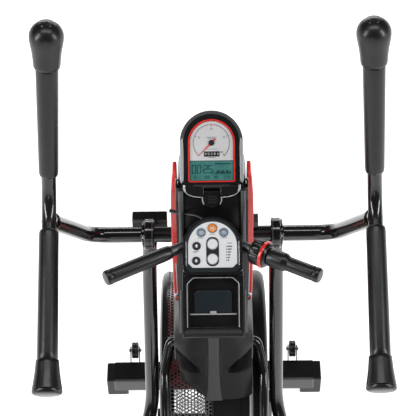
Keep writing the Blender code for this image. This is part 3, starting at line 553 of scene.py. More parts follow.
def make_clamp_block(side, sign):
    """A moulded half shell behind the crossbar's clamp, with a seam down its outer part and two bolts in
    its rear."""
    body = f"arm_{side}"
    low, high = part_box(f"clamp_block_{side}")
    soften_node(f"clamp_block_{side}", PLASTIC, 0.003, 4)
    seam = block((0.0016, high.y - low.y - 0.006, high.z - low.z - 0.0004),
                 (sign * 0.168, (low.y + high.y) / 2 + 0.003, (low.z + high.z) / 2))
    finish_piece(f"clamp_seam_{side}", seam, GREY, body, bevel=0.0004)
    heads = [bolt((sign * (0.150 + dx), high.y - 0.0004, ARM_PIVOT[1] - 0.006), (0, 1, 0), 0.006,
                  0.005) for dx in (-0.026, 0.026)]
    finish_piece(f"clamp_bolts_{side}", merged(*heads), STEEL, body, smooth=30)


# Frame

def make_hoop(side, sign):
    x, reach = 0.1255, DRUM_RADIUS + 0.0175
    ring = [(x, *p) for p in arc(DRUM, reach, 122, 232, 44)]
    top = [(0.0868, 0.215, 0.697), (0.108, 0.215, 0.697), ring[0]]
    foot = [ring[-1], (x, 0.196, 0.078), (0.070, 0.205, 0.052), (0.0305, 0.205, 0.052)]
    path = bent(top, 0.012, 6)[:-1] + [Vector(p) for p in ring[:-1]] + bent(foot, 0.020, 6)
    finish_piece(f"hoop_{side}", sweep([sided(p, sign) for p in path], 0.0125, 28), PAINT, "frame",
                 f"hoop_tube_{side}",
                 smooth=40)


def soften_node(node, look, width, segments=3):
    """A CAD node that stays, with rounder edges and a finished material."""
    piece = NODES[node]
    piece.data.materials.clear()
    piece.data.materials.append(look)
    if width:
        weld = piece.modifiers.new("weld", "WELD")
        weld.merge_threshold = 0.00005
        rounding = piece.modifiers.new("edges", "BEVEL")
        rounding.width = width
        rounding.segments = segments
        rounding.limit_method = "ANGLE"
        rounding.angle_limit = math.radians(50)
    return piece


def make_base():
    for node in ("front_stabiliser", "rear_stabiliser", "base_rail"):
        soften_node(node, PAINT, 0.0)
    for end in ("front", "rear"):
        for side, sign in SIDES:
            low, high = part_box(f"{end}_cap_{side}")
            tip, seam = (low.x, high.x) if sign < 0 else (high.x, low.x)
            middle = Vector(((tip + seam) / 2, (low.y + high.y) / 2, (low.z + high.z) / 2 - 0.001))
            size = (abs(tip - seam), high.y - low.y - 0.004, high.z - low.z - 0.002)
            plug = block((0.0030, size[1] - 0.003, size[2] - 0.003),
                         (seam - sign * 0.0012, middle.y, middle.z))
            finish_piece(f"{end}_cap_lip_{side}", plug, PAINT, "frame", bevel=0.0006)
            finish_piece(f"{end}_cap_end_{side}", block(size, middle), PLASTIC, "frame",
                         f"{end}_cap_{side}", bevel=0.0040,
                         segments=5)
    soften_node("mast_tube", PAINT, 0.0)
    soften_node("pivot_axle", PAINT, 0.0)
    for side, sign in SIDES:
        x = sign * 0.236
        low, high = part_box(f"transport_wheel_{side}")
        y, z = (low.y + high.y) / 2, (low.z + high.z) / 2
        tread = [(0.0042, -0.0094), (0.0085, -0.0094), (0.0090, -0.0070), (0.0175, -0.0060),
                 (0.0200, -0.0090),
                 (0.0225, -0.0095), (0.0243, -0.0080), (0.0245, -0.0040), (0.0238, -0.0020), (0.0238, 0.0020),
                 (0.0245, 0.0040), (0.0243, 0.0080), (0.0225, 0.0095), (0.0200, 0.0090), (0.0175, 0.0060),
                 (0.0090, 0.0070), (0.0085, 0.0094), (0.0042, 0.0094), (0.0042, -0.0094)]
        finish_piece(f"wheel_tyre_{side}", lathe(tread, (x, y, z), (1, 0, 0), 56), CAP_RUBBER,
                     f"wheel_{side}",
                     f"transport_wheel_{side}", smooth=35)
        pin = lathe([(0, -0.019), (0.0040, -0.019), (0.0040, 0.019), (0, 0.019)], (x, y, z), (1, 0, 0), 24)
        nuts = [bolt((x + d * 0.0150, y, z), (d, 0, 0), 0.0052, 0.0034) for d in (-1, 1)]
        finish_piece(f"wheel_bolt_{side}", merged(pin, *nuts), STEEL, f"wheel_{side}", smooth=30)


# Fan drum

def hex_cells(width, height, pitch):
    """Centres of a hexagon grid that fills a width by height sheet, wrapping along its width."""
    across = max(1, round(width / pitch))
    step = width / across
    rows = max(1, int(height / (step * math.sqrt(3) / 2)))
    return [((c + 0.5 * (r % 2)) * step, (r + 0.5) * height / rows) for r in range(rows)
            for c in range(across)], step


def hex_sheet(centres, step, wire, place, keep=lambda u, v: True):
    """A sheet of hexagon cells with their middles open; place(u, v) puts a sheet point in the world."""
    work = bmesh.new()
    radius = step / math.sqrt(3)
    for u, v in centres:
        if not keep(u, v):
            continue
        outer, inner = [], []
        for k in range(6):
            a = math.radians(30 + 60 * k)
            outer.append(work.verts.new(place(u + radius * math.cos(a), v + radius * math.sin(a))))
            inner.append(work.verts.new(place(u + (radius - wire) * math.cos(a),
                                              v + (radius - wire) * math.sin(a))))
        for k in range(6):
            j = (k + 1) % 6
            work.faces.new([outer[k], outer[j], inner[j], inner[k]])
    bmesh.ops.remove_doubles(work, verts=work.verts, dist=step * 0.06)
    return mesh_of(work)


def make_cage():
    """The left half of the drum: a rim band and a side disc of hexagon mesh between smooth moulded rings."""
    y, z = DRUM
    r, h = DRUM_RADIUS, DRUM_HALF
    x_in, x_out = 0.006, h - 0.018
    rim_length = 2 * math.pi * r
    centres, step = hex_cells(rim_length, x_out - x_in, 0.0100)

    def on_rim(u, v):
        a = u / r
        return Vector((-(x_in + v), y + (r - 0.002) * math.cos(a), z + (r - 0.002) * math.sin(a)))

    def clear_of_mast(u, v):
        a = (u / r) % (2 * math.pi)
        return not (abs(y + r * math.cos(a) - 0.300) < 0.036 and v < 0.020)

    rim = hex_sheet(centres, step, 0.0014, on_rim, clear_of_mast)
    finish_piece("cage_rim_mesh", rim, MESH_METAL, "frame", "fan_cage", smooth=0, solid=0.0012)
    side_cells = []
    pitch, reach = 0.0110, r - 0.020
    rows = int(2 * reach / (pitch * math.sqrt(3) / 2))
    for row in range(-rows // 2, rows // 2 + 1):
        for col in range(-30, 31):
            u, v = (col + 0.5 * (row % 2)) * pitch, row * pitch * math.sqrt(3) / 2
            if 0.070 < math.hypot(u, v) < reach - 0.004 and math.hypot(u + y - CRANK[0],
                    v + z - CRANK[1]) > 0.050:
                side_cells.append((u, v))
    disc = hex_sheet(side_cells, pitch, 0.0016, lambda u, v: Vector((-(h - 0.003), y + u, z + v)))
    finish_piece("cage_side_mesh", disc, DARK_MESH, "frame", smooth=0, solid=0.0012)
    outer = [(r - 0.024, h - 0.0005), (r - 0.018, h), (r - 0.007, h - 0.005), (r - 0.0005, h - 0.017),
             (r - 0.0005, h - 0.020),
             (r - 0.004, h - 0.020), (r - 0.008, h - 0.010), (r - 0.019, h - 0.004), (r - 0.024, h - 0.004),
             (r - 0.024, h - 0.0005)]
    seam = [(r - 0.005, 0.0006), (r, 0.0006), (r, 0.0062), (r - 0.005, 0.0062), (r - 0.005, 0.0006)]
    hub = [(0.0, h - 0.004), (0.074, h - 0.004), (0.074, h - 0.001), (0.068, h + 0.0), (0.030, h + 0.0),
           (0.0, h + 0.0)]
    rings = merged(lathe(outer, (0, y, z), (-1, 0, 0), 120), lathe(hub, (0, y, z), (-1, 0, 0), 72))
    finish_piece("cage_rings", rings, PLASTIC, "frame", smooth=35)
    finish_piece("cage_seam_ring", lathe(seam, (0, y, z), (-1, 0, 0), 120), PLASTIC, "frame", smooth=35)
    spokes = []
    for k in range(6):
        a = math.radians(30 + 60 * k)
        middle = Vector((-(h - 0.004), y + 0.168 * math.cos(a), z + 0.168 * math.sin(a)))
        spokes.append(block((0.005, 0.200, 0.011), middle, Matrix.Rotation(a, 3, "X")))
    finish_piece("cage_spokes", merged(*spokes), PLASTIC, "frame", bevel=0.002)
    guard = lathe([(0.0215, h - 0.004), (0.046, h - 0.004), (0.046, h), (0.040, h + 0.002),
                   (0.0215, h + 0.002),
                   (0.0215, h - 0.004)], (0, *CRANK), (-1, 0, 0), 56)
    finish_piece("cage_axle_guard", guard, PLASTIC, "frame", smooth=35)


def make_belt_cover():
    y, z = DRUM
    r, h = DRUM_RADIUS, DRUM_HALF
    profile = [(0.0, h - 0.0005), (0.030, h - 0.0005), (0.070, h - 0.0012), (0.072, h - 0.004),
               (0.080, h - 0.004),
               (0.082, h - 0.0012), (0.215, h - 0.0008), (0.217, h - 0.0035), (0.221, h - 0.0035),
               (0.223, h - 0.0008),
               (r - 0.024, h), (r - 0.012, h - 0.0022), (r - 0.004, h - 0.009), (r - 0.0004, h - 0.018),
               (r, h - 0.030), (r, 0.072), (r - 0.0016, 0.0705), (r - 0.0016, 0.0675), (r, 0.066),
               (r, 0.0006),
               (r - 0.004, 0.0006), (r - 0.004, h - 0.024), (r - 0.026, h - 0.006), (0.0, h - 0.006)]
    finish_piece("belt_cover_shell", lathe(profile, (0, y, z), (1, 0, 0), 128), COVER, "frame", "belt_cover",
                         smooth=30)
    guard = lathe([(0.0215, h - 0.004), (0.046, h - 0.004), (0.046, h), (0.040, h + 0.002),
                   (0.0215, h + 0.002),
                   (0.0215, h - 0.004)], (0, *CRANK), (1, 0, 0), 56)
    finish_piece("belt_cover_axle_guard", guard, PLASTIC, "frame", smooth=35)
    strip = []
    for i in range(41):
        a = math.radians(100 + 92 * i / 40)
        strip.append([(x, y + (r + 0.0008) * math.cos(a), z + (r + 0.0008) * math.sin(a)) for x in (0.0900,
                0.0945, 0.0990)])
    finish_piece("belt_cover_strip", grid(strip), SILVER, "frame", solid=0.001)


def make_fan():
    """Curved red blades between a back disc and a front ring."""
    y, z = FAN
    parts = [lathe([(0.0085, -0.0260), (FAN_RADIUS, -0.0260), (FAN_RADIUS, -0.0290), (0.040, -0.0300),
                    (0.034, -0.060),
                    (0.030, -0.120), (0.026, -0.128), (0.0085, -0.128), (0.0085, -0.0260)], (0, y, z),
                    (1, 0, 0), 72)]
    parts.append(lathe([(FAN_RADIUS - 0.012, -0.1200), (FAN_RADIUS - 0.001, -0.1200), (FAN_RADIUS, -0.1235),
                        (FAN_RADIUS - 0.012, -0.1245), (FAN_RADIUS - 0.012, -0.1200)], (0, y, z), (1, 0, 0),
                        72))
    blades = 14
    for i in range(blades):
        turn = 2 * math.pi * i / blades
        rows = []
        for k in range(9):
            t = k / 8
            radius = 0.029 + (FAN_RADIUS - 0.032) * t
            a = turn + 0.42 * t * t
            rows.append([(x, y + radius * math.cos(a + 0.10 * s), z + radius * math.sin(a + 0.10 * s))
                         for x, s in ((-0.028, 0.0), (-0.060, 0.3), (-0.092, 0.7), (-0.1225, 1.0))])
        work = bmesh.new()
        work.from_mesh(grid(rows))
        bmesh.ops.solidify(work, geom=work.faces, thickness=0.0022)
        parts.append(mesh_of(work))
    # The rotor's darkened red is painted shade from the drum around it.
    finish_piece("fan_rotor", merged(*parts), SHADED_FAN_RED, "fan", "fan_wheel", smooth=35)
    soften_node("fan_axle", STEEL, 0.0)


def make_drive():
    soften_node("drive_pulley", GREY, 0.0)
    soften_node("drive_belt", BELT, 0.0)
    soften_node("crank_axle", STEEL, 0.0)
    for side, sign in SIDES:
        soften_node(f"crank_arm_{side}", PAINT, 0.0018, 2)
        heads = bolt((sign * 0.1540, *CRANK), (sign, 0, 0), 0.0085, 0.0015, False)
        finish_piece(f"crank_bolt_{side}", heads, STEEL, "crank", smooth=30)


def make_legs():
    for side, sign in SIDES:
        body = f"leg_{side}_body"
        soften_node(f"leg_{side}", PAINT, 0.0030, 3)
        rise = sign * CRANK_RADIUS / math.dist(LEG_PIVOT, (CRANK[0], CRANK[1] + CRANK_RADIUS))
        along = Matrix.Rotation(math.atan2(rise, math.sqrt(1 - rise**2)), 3, "X")
        pivot = Vector((0, *LEG_PIVOT))
        x_low, x_high = span(sign, 0.062, 0.216)
        middle = pivot + along @ Vector(((x_low + x_high) / 2, -0.290, 0.0365))
        width, length = x_high - x_low, 0.350
        outline = rounded((-width / 2, -length / 2), (width / 2, length / 2), 0.026, 8)
        base = slab([outline], 0.018, (0, 0, 0))
        ribs = []
        for k in range(15):
            v = -length / 2 + 0.026 + k * 0.0198
            ribs.append(block((width - 0.034, 0.0105, 0.0030), (0, v, 0.0102)))
        saddle = block((0.046, 0.180, 0.020), (sign * 0.166 - (x_low + x_high) / 2, 0.020, -0.0175))
        rim_line = [(u, v) for u, v in outline if v > -length / 2 + 0.06]
        rim = []
        for u, v in sorted(rim_line, key=lambda p: math.atan2(p[1] - 0.02, p[0])):
            lift = 0.014 + 0.012 * max(0.0, v / (length / 2)) ** 3
            rim.append([(u, v, 0.004), (u, v, lift), (u * 0.945, v * 0.975, lift),
                        (u * 0.945, v * 0.975, 0.004)])
        shapes = []
        for data, look, name, bevel in ((base, PLASTIC, "pedal_body", 0.004),
                                        (merged(*ribs), CAP_RUBBER, "pedal_tread", 0.0011),
                                        (saddle, PLASTIC, "pedal_saddle", 0.003),
                                        (grid(rim), PLASTIC, "pedal_rim", 0.0)):
            data.transform(Matrix.Translation(middle) @ along.to_4x4())
            shapes.append(finish_piece(f"{name}_{side}", data, look, body,
                                       f"pedal_{side}" if name == "pedal_body" else (),
                                       bevel=bevel, solid=0.002 if name == "pedal_rim" else 0.0))


# Mast covers

def make_mast():
    """The rear cover: a flat upper face, and below the tray a flared shroud with a centre ridge and two
    scoops."""
    line = [(0.264, 1.218), (0.240, 1.195), (0.222, 1.140), (0.195, 1.060), (0.180, 0.970), (0.165, 0.880),
            (0.157, 0.800),
            (0.150, 0.720), (0.140, 0.655), (0.130, 0.610), (0.1245, 0.586), (0.1215, 0.574)]
    left_edge = ((1.30, 0.0795), (0.800, 0.0795), (0.765, 0.0950), (0.700, 0.0930), (0.690, 0.0880),
                 (0.626, 0.0790), (0.574, 0.0240))
    right_edge = ((1.30, 0.0795), (0.800, 0.0795), (0.765, 0.0950), (0.700, 0.0945), (0.574, 0.0945))

    def edge(table, z):
        for (z1, w1), (z0, w0) in zip(table, table[1:]):
            if z >= z0:
                return w0 + (w1 - w0) * (z - z0) / (z1 - z0)
        return table[-1][1]

    def scoop(x, z):
        """Depth of the recess under its slanting brow, easing out to the lip at its foot."""
        brow, lip = 0.676 + (abs(x) - 0.029) * 1.08, 0.664
        if abs(x) < 0.029 or z > brow or z < lip:
            return 0.0
        return 0.034 * min(1.0, (brow - z) / 0.0030) * min(1.0,
                                                           (z - lip) / max(0.02, brow - lip)) * min(1.0,
                                                                   (abs(x) - 0.029) / 0.016)

    steps, across = 130, 64
    rows = []
    for i in range(steps + 1):
        place = (i / steps) * (len(line) - 1)
        k = min(int(place), len(line) - 2)
        y, z = (a + (b - a) * (place - k) for a, b in zip(line[k], line[k + 1]))
        left, right = edge(left_edge, z), edge(right_edge, z)
        row = []
        for j in range(across + 1):
            x = -left + (left + right) * j / across
            s = abs(x) / (left if x < 0 else right)
            crown = 0.014 * s**4
            row.append((x, y + crown + scoop(x, z), z))
        drum_top = [DRUM[1] + math.sqrt((DRUM_RADIUS + 0.003) ** 2 - (yy - DRUM[0]) ** 2)
                    for yy in (y + 0.04, 0.220, 0.2985)]
        back = [(y + 0.040, max(z, drum_top[0])), (max(0.220, y + 0.041), max(z, drum_top[1])),
                (0.2985, max(z, drum_top[2]))]
        rows.append([(-left, *p) for p in reversed(back)] + row + [(right, *p) for p in back])
    finish_piece("mast_rear_shell", grid(rows), COVER, "frame", "mast_rear_cover", smooth=28, solid=0.003)

    rows = []
    for i in range(31):
        t = i / 30
        place = 6 + t * (len(line) - 7)
        k = min(int(place), len(line) - 2)
        y, z = (a + (b - a) * (place - k) for a, b in zip(line[k], line[k + 1]))
        half = 0.0120 + 0.0092 * t**1.6
        rows.append([(x * half, y + d, z) for x, d in ((-1.14, 0.002), (-1.0, -0.0038), (-0.9, -0.0050),
                                                       (0.0, -0.0056), (0.9, -0.0050),
                                                       (1.0, -0.0038), (1.14, 0.002))])
    finish_piece("mast_ridge", grid(rows), RIDGE, "frame", smooth=25)
    for side, sign in SIDES:
        path = [(sign * (0.0148 + 0.0098 * (i / 12) ** 1.6), 0.1560 - 0.0312 * (i / 12) ** 1.3,
                 0.800 - 0.220 * i / 12) for i in range(13)]
        finish_piece(f"ridge_groove_{side}", sweep(path, 0.0012, 8), INK, "frame")
        column = [(sign * 0.0705, y - 0.002, z) for y, z in ((0.205, 1.090), (0.222, 1.140), (0.240, 1.195),
                                                             (0.264, 1.220))]
        finish_piece(f"mast_column_{side}", sweep(bent(column, 0.02, 5), 0.0058, 20), GREY, "frame",
                     smooth=60)
        shell = [(sign * 0.0955, y, z) for y, z in ((0.172, 0.770), (0.168, 0.740), (0.160, 0.700))]
        finish_piece(f"shroud_edge_{side}", sweep(shell, 0.0014, 10), GREY, "frame")

    outline = [(0.3003, 0.668), (0.350, 0.664), (0.385, 0.900), (0.400, 1.100), (0.405, 1.200),
               (0.400, 1.262), (0.3003, 1.180)]
    work = bmesh.new()
    work.from_mesh(slab([outline], 0.160, (0, 0, 0), side_on=True))
    for z in (1.150, 1.180, 1.205, 1.230, 1.250):
        bmesh.ops.bisect_plane(work, geom=work.verts[:] + work.edges[:] + work.faces[:], plane_co=(0, 0, z),
                               plane_no=(0, 0, 1))
    for vert in work.verts:
        rise = max(0.0, (vert.co.z - 1.150) / 0.112)
        vert.co.x *= 1 - 0.26 * rise**1.5
    finish_piece("mast_front_shell", mesh_of(work), GREY, "frame", "mast_front_cover", smooth=40,
                 bevel=0.009, segments=4)


def make_trims():
    """Red strips that bow out along both sides of the mast, each with two pale lines down its rear face: the
    upper one a painted highlight, the lower a silver line that is partly a painted highlight.
    """
    stations = ((1.236, 0.0805, 0.0885, 0.306, 0.340), (1.222, 0.0800, 0.0910, 0.300, 0.345),
                (1.170, 0.0800, 0.0950, 0.292, 0.347),
                (1.110, 0.0800, 0.0965, 0.281, 0.342), (1.020, 0.0800, 0.0965, 0.266, 0.330),
                (0.950, 0.0800, 0.0968, 0.267, 0.325),
                (0.900, 0.0800, 0.0970, 0.271, 0.322), (0.850, 0.0800, 0.0972, 0.273, 0.316),
                (0.800, 0.0800, 0.0965, 0.277, 0.307),
                (0.782, 0.0825, 0.0950, 0.281, 0.302), (0.772, 0.0860, 0.0930, 0.287, 0.297))
    for side, sign in SIDES:
        work = bmesh.new()
        rings = [[work.verts.new((sign * x, y, z)) for x, y in ((inner, rear), (outer, rear),
                                                                (outer, front), (inner, front))]
                 for z, inner, outer, rear, front in stations]
        for first, second in zip(rings, rings[1:]):
            bridge(work, first, second)
        work.faces.new(rings[0])
        work.faces.new(rings[-1])
        finish_piece(f"red_strip_{side}", mesh_of(work), RED, "frame", f"red_trim_{side}", smooth=50,
                     bevel=0.0026, segments=4)
        # The upper line is a painted highlight; the lower is a silver line, partly painted highlight.
        for name, low, high, share in (("upper", 1, 4, 0.12), ("lower", 5, 9, 0.45)):
            path = [(sign * (inner + (outer - inner) * share), rear - 0.0004, z)
                    for z, inner, outer, rear, front in stations[low:high]]
            finish_piece(f"strip_highlight_line_{name}_{side}", sweep(bent(path, 0.02, 4), 0.0017, 12), SILVER, "frame")
        foot = stations[8]
        clip = lathe([(0, 0), (0.0055, 0), (0.0055, 0.0015), (0.0030, 0.0022), (0, 0.0022)],
                     (sign * 0.0905, foot[3] - 0.0010, 0.812), (0, -1, 0.2), 28)
        finish_piece(f"strip_clip_{side}", clip, STEEL, "frame", smooth=30)


# Console

DIAL_V = 0.0122


def on_console(u, v, w=0.0):
    return in_plane(CONSOLE_TILT, CONSOLE_AT, u, v, w)


def console_slab(outlines, low, high):
    return slab(outlines, high - low, on_console(0, 0, (low + high) / 2), CONSOLE_TILT)


def ring_tick(radius_in, radius_out, degrees, half_width, low, high):
    a = math.radians(degrees)
    along, across = (math.cos(a), math.sin(a)), (-math.sin(a), math.cos(a))
    outline = [(along[0] * r + across[0] * w, along[1] * r + across[1] * w + DIAL_V)
               for r, w in ((radius_in, -half_width), (radius_out, -half_width), (radius_out, half_width),
                            (radius_in, half_width))]
    return console_slab([outline], low, high)


def text_mesh(text, size, at, tilt):
    """Digits as thin raised print."""
    data = bpy.data.curves.new("print", "FONT")
    data.body = text
    data.size = size
    data.extrude = 0.00012
    data.align_x = data.align_y = "CENTER"
    data.resolution_u = 3
    made = bpy.data.objects.new("print", data)
    bpy.context.scene.collection.objects.link(made)
    bpy.context.view_layer.update()
    mesh = bpy.data.meshes.new_from_object(made.evaluated_get(bpy.context.evaluated_depsgraph_get()))
    bpy.data.objects.remove(made, do_unlink=True)
    mesh.transform(Matrix.Translation(at) @ Matrix.Rotation(tilt, 4, "X"))
    return mesh


SEGMENTS = {"0": "abcdef", "1": "bc", "2": "abged", "3": "abgcd", "4": "fgbc", "5": "afgcd", "6": "afgedc",
            "7": "abc",
            "8": "abcdefg", "9": "abcdfg"}


def segment_digit(digit, u, v, width, height, thick):
    """One seven-segment digit as boxes; (u, v) is its lower left corner."""
    half = height / 2
    spots = {"a": (0, height - thick, width, height), "g": (0, half - thick / 2, width, half + thick / 2),
             "d": (0, 0, width, thick),
             "f": (0, half, thick, height), "b": (width - thick, half, width, height),
             "e": (0, 0, thick, half),
             "c": (width - thick, 0, width, half)}
    trim = thick * 0.18
    made = []
    for name in SEGMENTS[digit]:
        u0, v0, u1, v1 = spots[name]
        made.append(console_slab([[(u + u0 + trim, v + v0 + trim), (u + u1 - trim, v + v0 + trim),
                                   (u + u1 - trim, v + v1 - trim),
                                   (u + u0 + trim, v + v1 - trim)]], -0.0036, -0.0033))
    return made


DOT_RADIUS, NUMBER_RADIUS, NEEDLE_HEADING = 0.0410, 0.0310, math.radians(225)


def on_dial(radius, degrees):
    a = math.radians(degrees)
    return radius * math.cos(a), DIAL_V + radius * math.sin(a)


def bar_mark(u, v, width, height, low, high):
    return console_slab([[(u, v), (u + width, v), (u + width, v + height), (u, v + height)]], low, high)


def make_console():
    """A grey outer shell, a gloss bezel that slopes in to the thin red ring, and the dial over the LCD."""
    shell = console_slab([arch(0.0715, 0.0135, -0.0860, 0.016, 48),
                          arch(0.0628, 0.0140, -0.0830, 0.010, 48)], -0.040, -0.0010)
    finish_piece("console_shell", shell, GREY, "frame", bevel=0.0060, segments=5)
    bezel = console_slab([arch(0.0632, 0.0140, -0.0890, 0.010, 48),
                          arch(0.0536, DIAL_V, -0.0775, 0.0030, 48)], -0.016, 0.0006)
    finish_piece("console_bezel", bezel, GLOSS, "frame", "console_housing", bevel=0.0040, segments=5)
    back = console_slab([arch(0.0690, 0.0120, -0.0840, 0.016, 48)], -0.0475, -0.0180)
    finish_piece("console_back", back, PLASTIC, "frame", bevel=0.010, segments=4)
    floor = console_slab([arch(0.0550, DIAL_V, -0.0780)], -0.0165, -0.0062)
    finish_piece("console_floor", floor, INK, "frame")
    for side, sign in SIDES:
        band = [(sign * x, v) for x, v in ((0.0650, 0.0240), (0.0712, 0.0180), (0.0722, -0.0300),
                                           (0.0722, -0.0720),
                                           (0.0690, -0.0800), (0.0640, -0.0740), (0.0632, 0.0000))]
        finish_piece(f"console_band_{side}", console_slab([band], -0.012, 0.0002), SILVER, "frame",
                     bevel=0.0016)
    # Painted highlight: a paler grey strip on the bezel's lower chamfer where light catches it.
    lip = console_slab([[(-0.0440, -0.0895), (0.0440, -0.0895), (0.0400, -0.0830), (-0.0400, -0.0830)]],
                       -0.0008, 0.0012)
    finish_piece("console_lip_painted_highlight", lip, RIDGE, "frame", bevel=0.0008)
    surround = console_slab([arch(0.0532, DIAL_V, -0.0770, 0.0030, 48),
                             arch(0.0498, DIAL_V, -0.0742, 0.0015, 48)], -0.0060, -0.0004)
    finish_piece("surround_ring", surround, RED, "frame", "red_surround", bevel=0.0009)
    plate = console_slab([arch(0.0490, DIAL_V, -0.0280)], -0.0060, -0.0040)
    finish_piece("dial_card", plate, DIAL_WHITE, "frame", "dial_plate", bevel=0.0003)
    lcd = console_slab([rounded((-0.0486, -0.0732), (0.0486, -0.0292), 0.001)], -0.0060, -0.0040)
    finish_piece("lcd_panel", lcd, LCD, "frame", "lcd_window", bevel=0.0003)

    dark, red = [], []
    count = 48
    for i in range(count + 1):
        degrees = 225 - 270 * i / count
        tick = ring_tick(DOT_RADIUS - 0.0011, DOT_RADIUS + 0.0011, degrees, 0.0010, -0.0040, -0.0036)
        (red if i == 0 or 82 < degrees < 100 else dark).append(tick)
    for i in range(5):
        dark.append(ring_tick(DOT_RADIUS - 0.0040, DOT_RADIUS + 0.0010, 225 - 67.5 * i, 0.0007, -0.0040,
                              -0.0036))
    finish_piece("dial_ticks", merged(*dark), INK, "frame")
    finish_piece("dial_red_ticks", merged(*red), RED, "frame")
    numbers = []
    for i in range(1, 5):
        numbers.append(text_mesh(str(25 * i), 0.0062, on_console(*on_dial(NUMBER_RADIUS, 225 - 67.5 * i),
                                                                 -0.0037), CONSOLE_TILT))
    numbers += [bar_mark(-0.0120, DIAL_V + 0.0118, 0.0240, 0.0012, -0.0040, -0.0037),
                bar_mark(-0.0080, DIAL_V + 0.0090, 0.0160, 0.0010, -0.0040, -0.0037),
                bar_mark(-0.0110, DIAL_V - 0.0150, 0.0240, 0.0010, -0.0040, -0.0037),
                bar_mark(-0.0075, DIAL_V - 0.0345, 0.0165, 0.0012, -0.0040, -0.0037)]
    finish_piece("dial_numbers", merged(*numbers), GREY_INK, "frame", smooth=0)
    window = console_slab([rounded((-0.0172, -0.0192), (0.0182, -0.0074), 0.0010)], -0.0040, -0.0034)
    finish_piece("counter_window", window, INK, "frame", bevel=0.0002)
    counter = [text_mesh(d, 0.0080, on_console(-0.0135 + 0.0069 * i, -0.0133, -0.0032), CONSOLE_TILT) for i,
               d in enumerate("00384")]
    finish_piece("counter_digits", merged(*counter), DIAL_WHITE, "frame", smooth=0)

    digits = []
    for digit, u in (("0", -0.0450), ("0", -0.0335), ("2", -0.0190), ("5", -0.0075)):
        digits += segment_digit(digit, u, -0.0572, 0.0098, 0.0196, 0.0022)
    digits += [console_slab([circle((-0.0213, v), 0.0009, 12)], -0.0038, -0.0034) for v in (-0.0440, -0.0510)]
    digits += [bar_mark(0.0080 + 0.0040 * i, -0.0370, 0.0027, 0.0030, -0.0038, -0.0034) for i in range(9)]
    for i in range(12):
        height = 0.0026 + 0.0052 * abs(math.sin(i * 0.9))
        digits.append(bar_mark(0.0090 + 0.0029 * i, -0.0572, 0.0019, height, -0.0038, -0.0034))
    digits.append(bar_mark(0.0086, -0.0587, 0.0350, 0.0008, -0.0038, -0.0034))
    for start, number in ((-0.0430, "12"), (-0.0180, "108"), (0.0060, "43"), (0.0290, "216")):
        for i, digit in enumerate(number):
            digits += segment_digit(digit, start + i * 0.0047, -0.0690, 0.0034, 0.0066, 0.0009)
    finish_piece("lcd_digits", merged(*digits), LCD_DARK, "frame")

    along = (math.cos(NEEDLE_HEADING), math.sin(NEEDLE_HEADING))
    outline = [(r * along[0] - w * along[1], DIAL_V + r * along[1] + w * along[0])
               for r, w in ((-0.0125, -0.0022), (-0.0040, -0.0012), (0.0090, -0.0014), (0.0400, -0.0004),
                            (0.0400, 0.0004),
                            (0.0090, 0.0014), (-0.0040, 0.0012), (-0.0125, 0.0022))]
    finish_piece("needle_blade", console_slab([outline], -0.0029, -0.0021), RED, "needle", "dial_needle",
                 bevel=0.0002)
    hub = lathe([(0.0, 0.0), (0.0066, 0.0), (0.0066, 0.0012), (0.0056, 0.0026), (0.0, 0.0030)],
                on_console(0, DIAL_V, -0.0031),
                in_plane(CONSOLE_TILT, (0, 0, 0), 0, 0, 1), 40)
    finish_piece("needle_cap", hub, INK, "needle", smooth=40)


# Panel and tray

def on_panel(u, v, w=0.0):
    return in_plane(PANEL_TILT, PANEL_AT, u, v, w)


def panel_slab(outlines, low, high):
    return slab(outlines, high - low, on_panel(0, 0, (low + high) / 2), PANEL_TILT)


TRAY_MIDDLE = Vector((0, *TRAY_FROM))


def tray_slab(outlines, low, high):
    """A plate in the tray's slope; v runs down the slope from the panel's foot, as a negative number."""
    return slab(outlines, high - low, in_plane(TRAY_TILT, TRAY_MIDDLE, 0, 0, (low + high) / 2), TRAY_TILT)


BUTTONS = (
    ("start_button", (0.000, 0.0397), 0.0095, ORANGE),
    ("left_function_button", (-0.0250, 0.0300), 0.0088, BLUE_GREY),
    ("right_function_button", (0.0250, 0.0300), 0.0088, BLUE_GREY),
    ("upper_select_button", (0.000, 0.0040), 0.0112, WHITE),
    ("lower_select_button", (0.000, -0.0295), 0.0112, WHITE),
    ("up_button", (-0.0355, 0.0000), 0.0082, INK),
    ("down_button", (-0.0365, -0.0330), 0.0082, INK),
)
FACE = 0.0118


